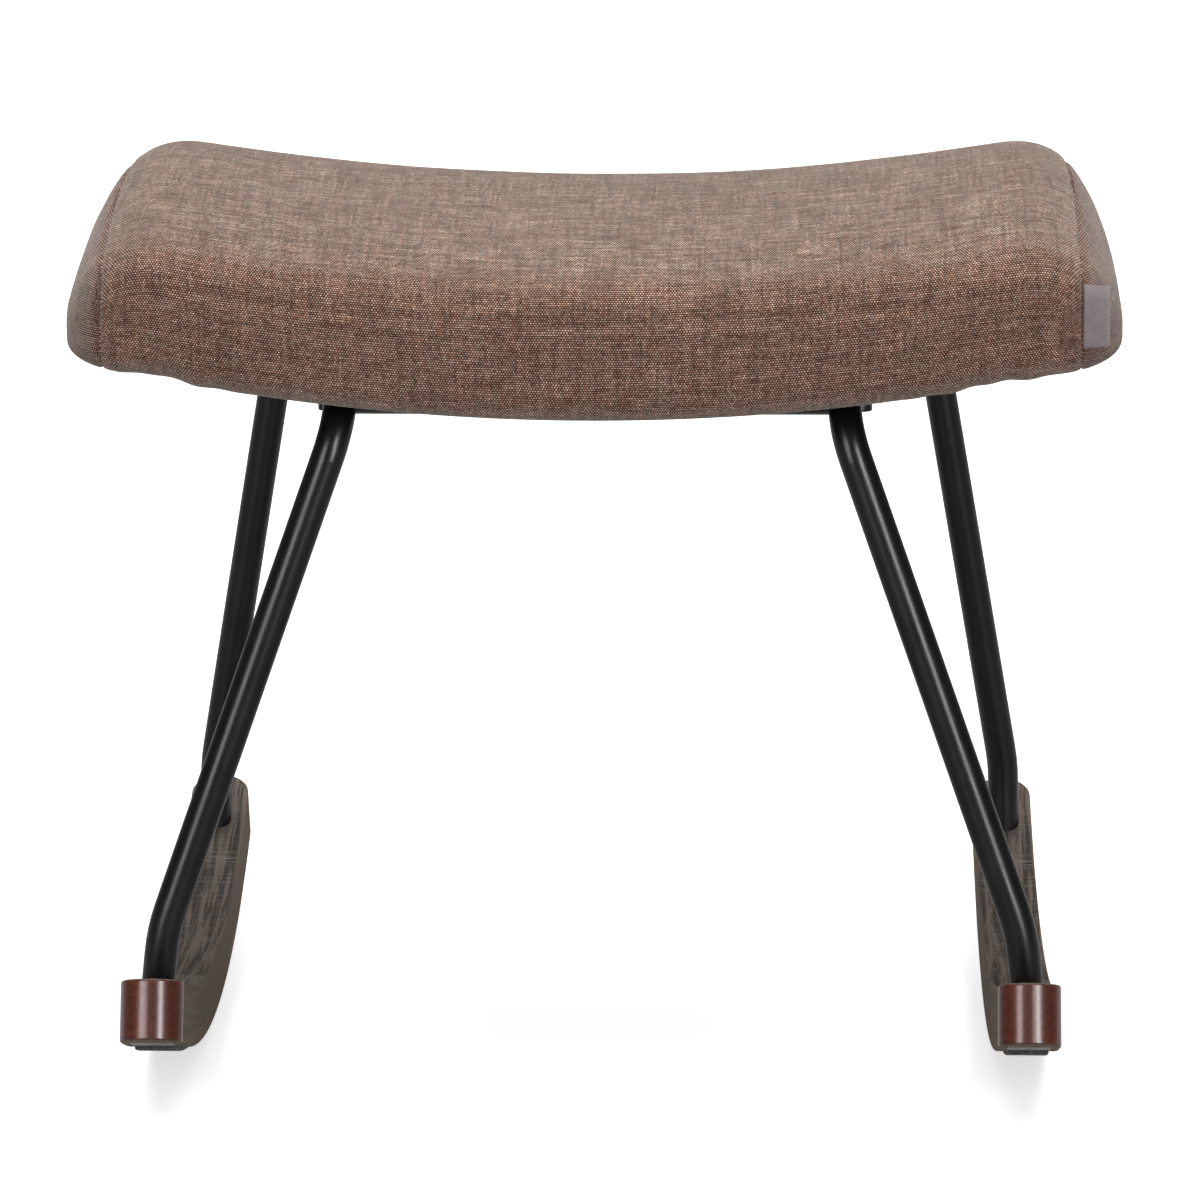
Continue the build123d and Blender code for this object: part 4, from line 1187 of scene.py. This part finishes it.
def floor():
    """A pale floor that the camera sees nearly white, with the stool's shadow on it."""
    bm = bmesh.new()
    n = FLOOR_CELLS
    places = [FLOOR_HALF_SIZE * (2 * i / n - 1) for i in range(n + 1)]
    grid = [[bm.verts.new((x, y, 0.0)) for y in places] for x in places]
    for i in range(n):
        for j in range(n):
            bm.faces.new((grid[i][j], grid[i + 1][j], grid[i + 1][j + 1], grid[i][j + 1]))
    obj = link_mesh(bm, "studio_floor")
    m = Nodes("studio_floor")
    path = m.tree.nodes.new("ShaderNodeLightPath")
    camera_ray = path.outputs["Is Camera Ray"]
    mirrored = m.math("MAXIMUM", path.outputs["Is Glossy Ray"], path.outputs["Is Transmission Ray"])
    pale = m.mix(camera_ray, FLOOR_LIT, FLOOR_SEEN)
    glow = m.plus(m.times(camera_ray, FLOOR_GLOW), m.times(mirrored, MIRROR_GLOW))
    m.set(
        Base_Color=pale,
        Roughness=0.9,
        Specular_IOR_Level=0.0,
        Emission_Color=(1.0, 1.0, 1.0, 1.0),
        Emission_Strength=glow,
    )
    obj.data.materials.append(m.mat)


def world_light():
    world = bpy.data.worlds.new("studio") if scene.world is None else scene.world
    scene.world = world
    world.use_nodes = True
    background = world.node_tree.nodes["Background"]
    background.inputs["Color"].default_value = (1.0, 1.0, 1.0, 1.0)
    background.inputs["Strength"].default_value = WORLD_STRENGTH


def sun():
    data = bpy.data.lights.new("overhead", "SUN")
    data.energy = SUN_STRENGTH
    data.angle = SUN_ANGLE
    obj = bpy.data.objects.new("overhead", data)
    obj.rotation_euler = (SUN_TILT, 0.0, 0.0)
    scene.collection.objects.link(obj)


def area(name, place, aim, size, power, highlight):
    """A soft panel that either lights the surfaces or only shows in their gloss."""
    data = bpy.data.lights.new(name, "AREA")
    data.energy = power
    data.shape = "RECTANGLE"
    data.size, data.size_y = size
    obj = bpy.data.objects.new(name, data)
    obj.location = place
    obj.rotation_euler = (Vector(aim) - Vector(place)).to_track_quat("-Z", "Y").to_euler()
    obj.visible_diffuse, obj.visible_glossy = not highlight, highlight
    scene.collection.objects.link(obj)


floor()
world_light()
sun()
area("left_strip", (-1.34, -2.12, 0.80), (0, 0, 0.22), size=(0.85, 1.5), power=52.0, highlight=True)
area("right_strip", (1.28, -2.16, 0.80), (0, 0, 0.22), size=(0.65, 1.5), power=76.0, highlight=True)
area("front_fill", (0.15, -2.75, 1.10), (0, 0, 0.30), size=(2.4, 1.8), power=29.0, highlight=False)

# the photograph's camera, as solved from it
CAMERA_AZIMUTH = math.radians(1.670)
CAMERA_ELEVATION = math.radians(12.932)
CAMERA_ROLL = math.radians(-0.2)
CAMERA_DISTANCE = 2.98593
CAMERA_AIM = Vector((0.00013, 0.0, 0.21106))
LENS, SENSOR = 180.0, 36.0


def photo_camera():
    data = bpy.data.cameras.new("camera")
    data.lens, data.sensor_width = LENS, SENSOR
    data.clip_start, data.clip_end = 0.05, 50.0
    sin_a, cos_a = math.sin(CAMERA_AZIMUTH), math.cos(CAMERA_AZIMUTH)
    sin_e, cos_e = math.sin(CAMERA_ELEVATION), math.cos(CAMERA_ELEVATION)
    sin_r, cos_r = math.sin(CAMERA_ROLL), math.cos(CAMERA_ROLL)
    back = Vector((sin_a * cos_e, -cos_a * cos_e, sin_e))
    right = Vector((cos_a, sin_a, 0.0))
    up = right.cross(-back)
    right, up = right * cos_r + up * sin_r, up * cos_r - right * sin_r
    eye = bpy.data.objects.new("camera", data)
    eye.location = CAMERA_AIM + back * CAMERA_DISTANCE
    eye.rotation_mode = "QUATERNION"
    eye.rotation_quaternion = Matrix((right, up, back)).transposed().to_quaternion()
    scene.collection.objects.link(eye)
    scene.camera = eye


photo_camera()
scene.view_settings.view_transform = "Standard"
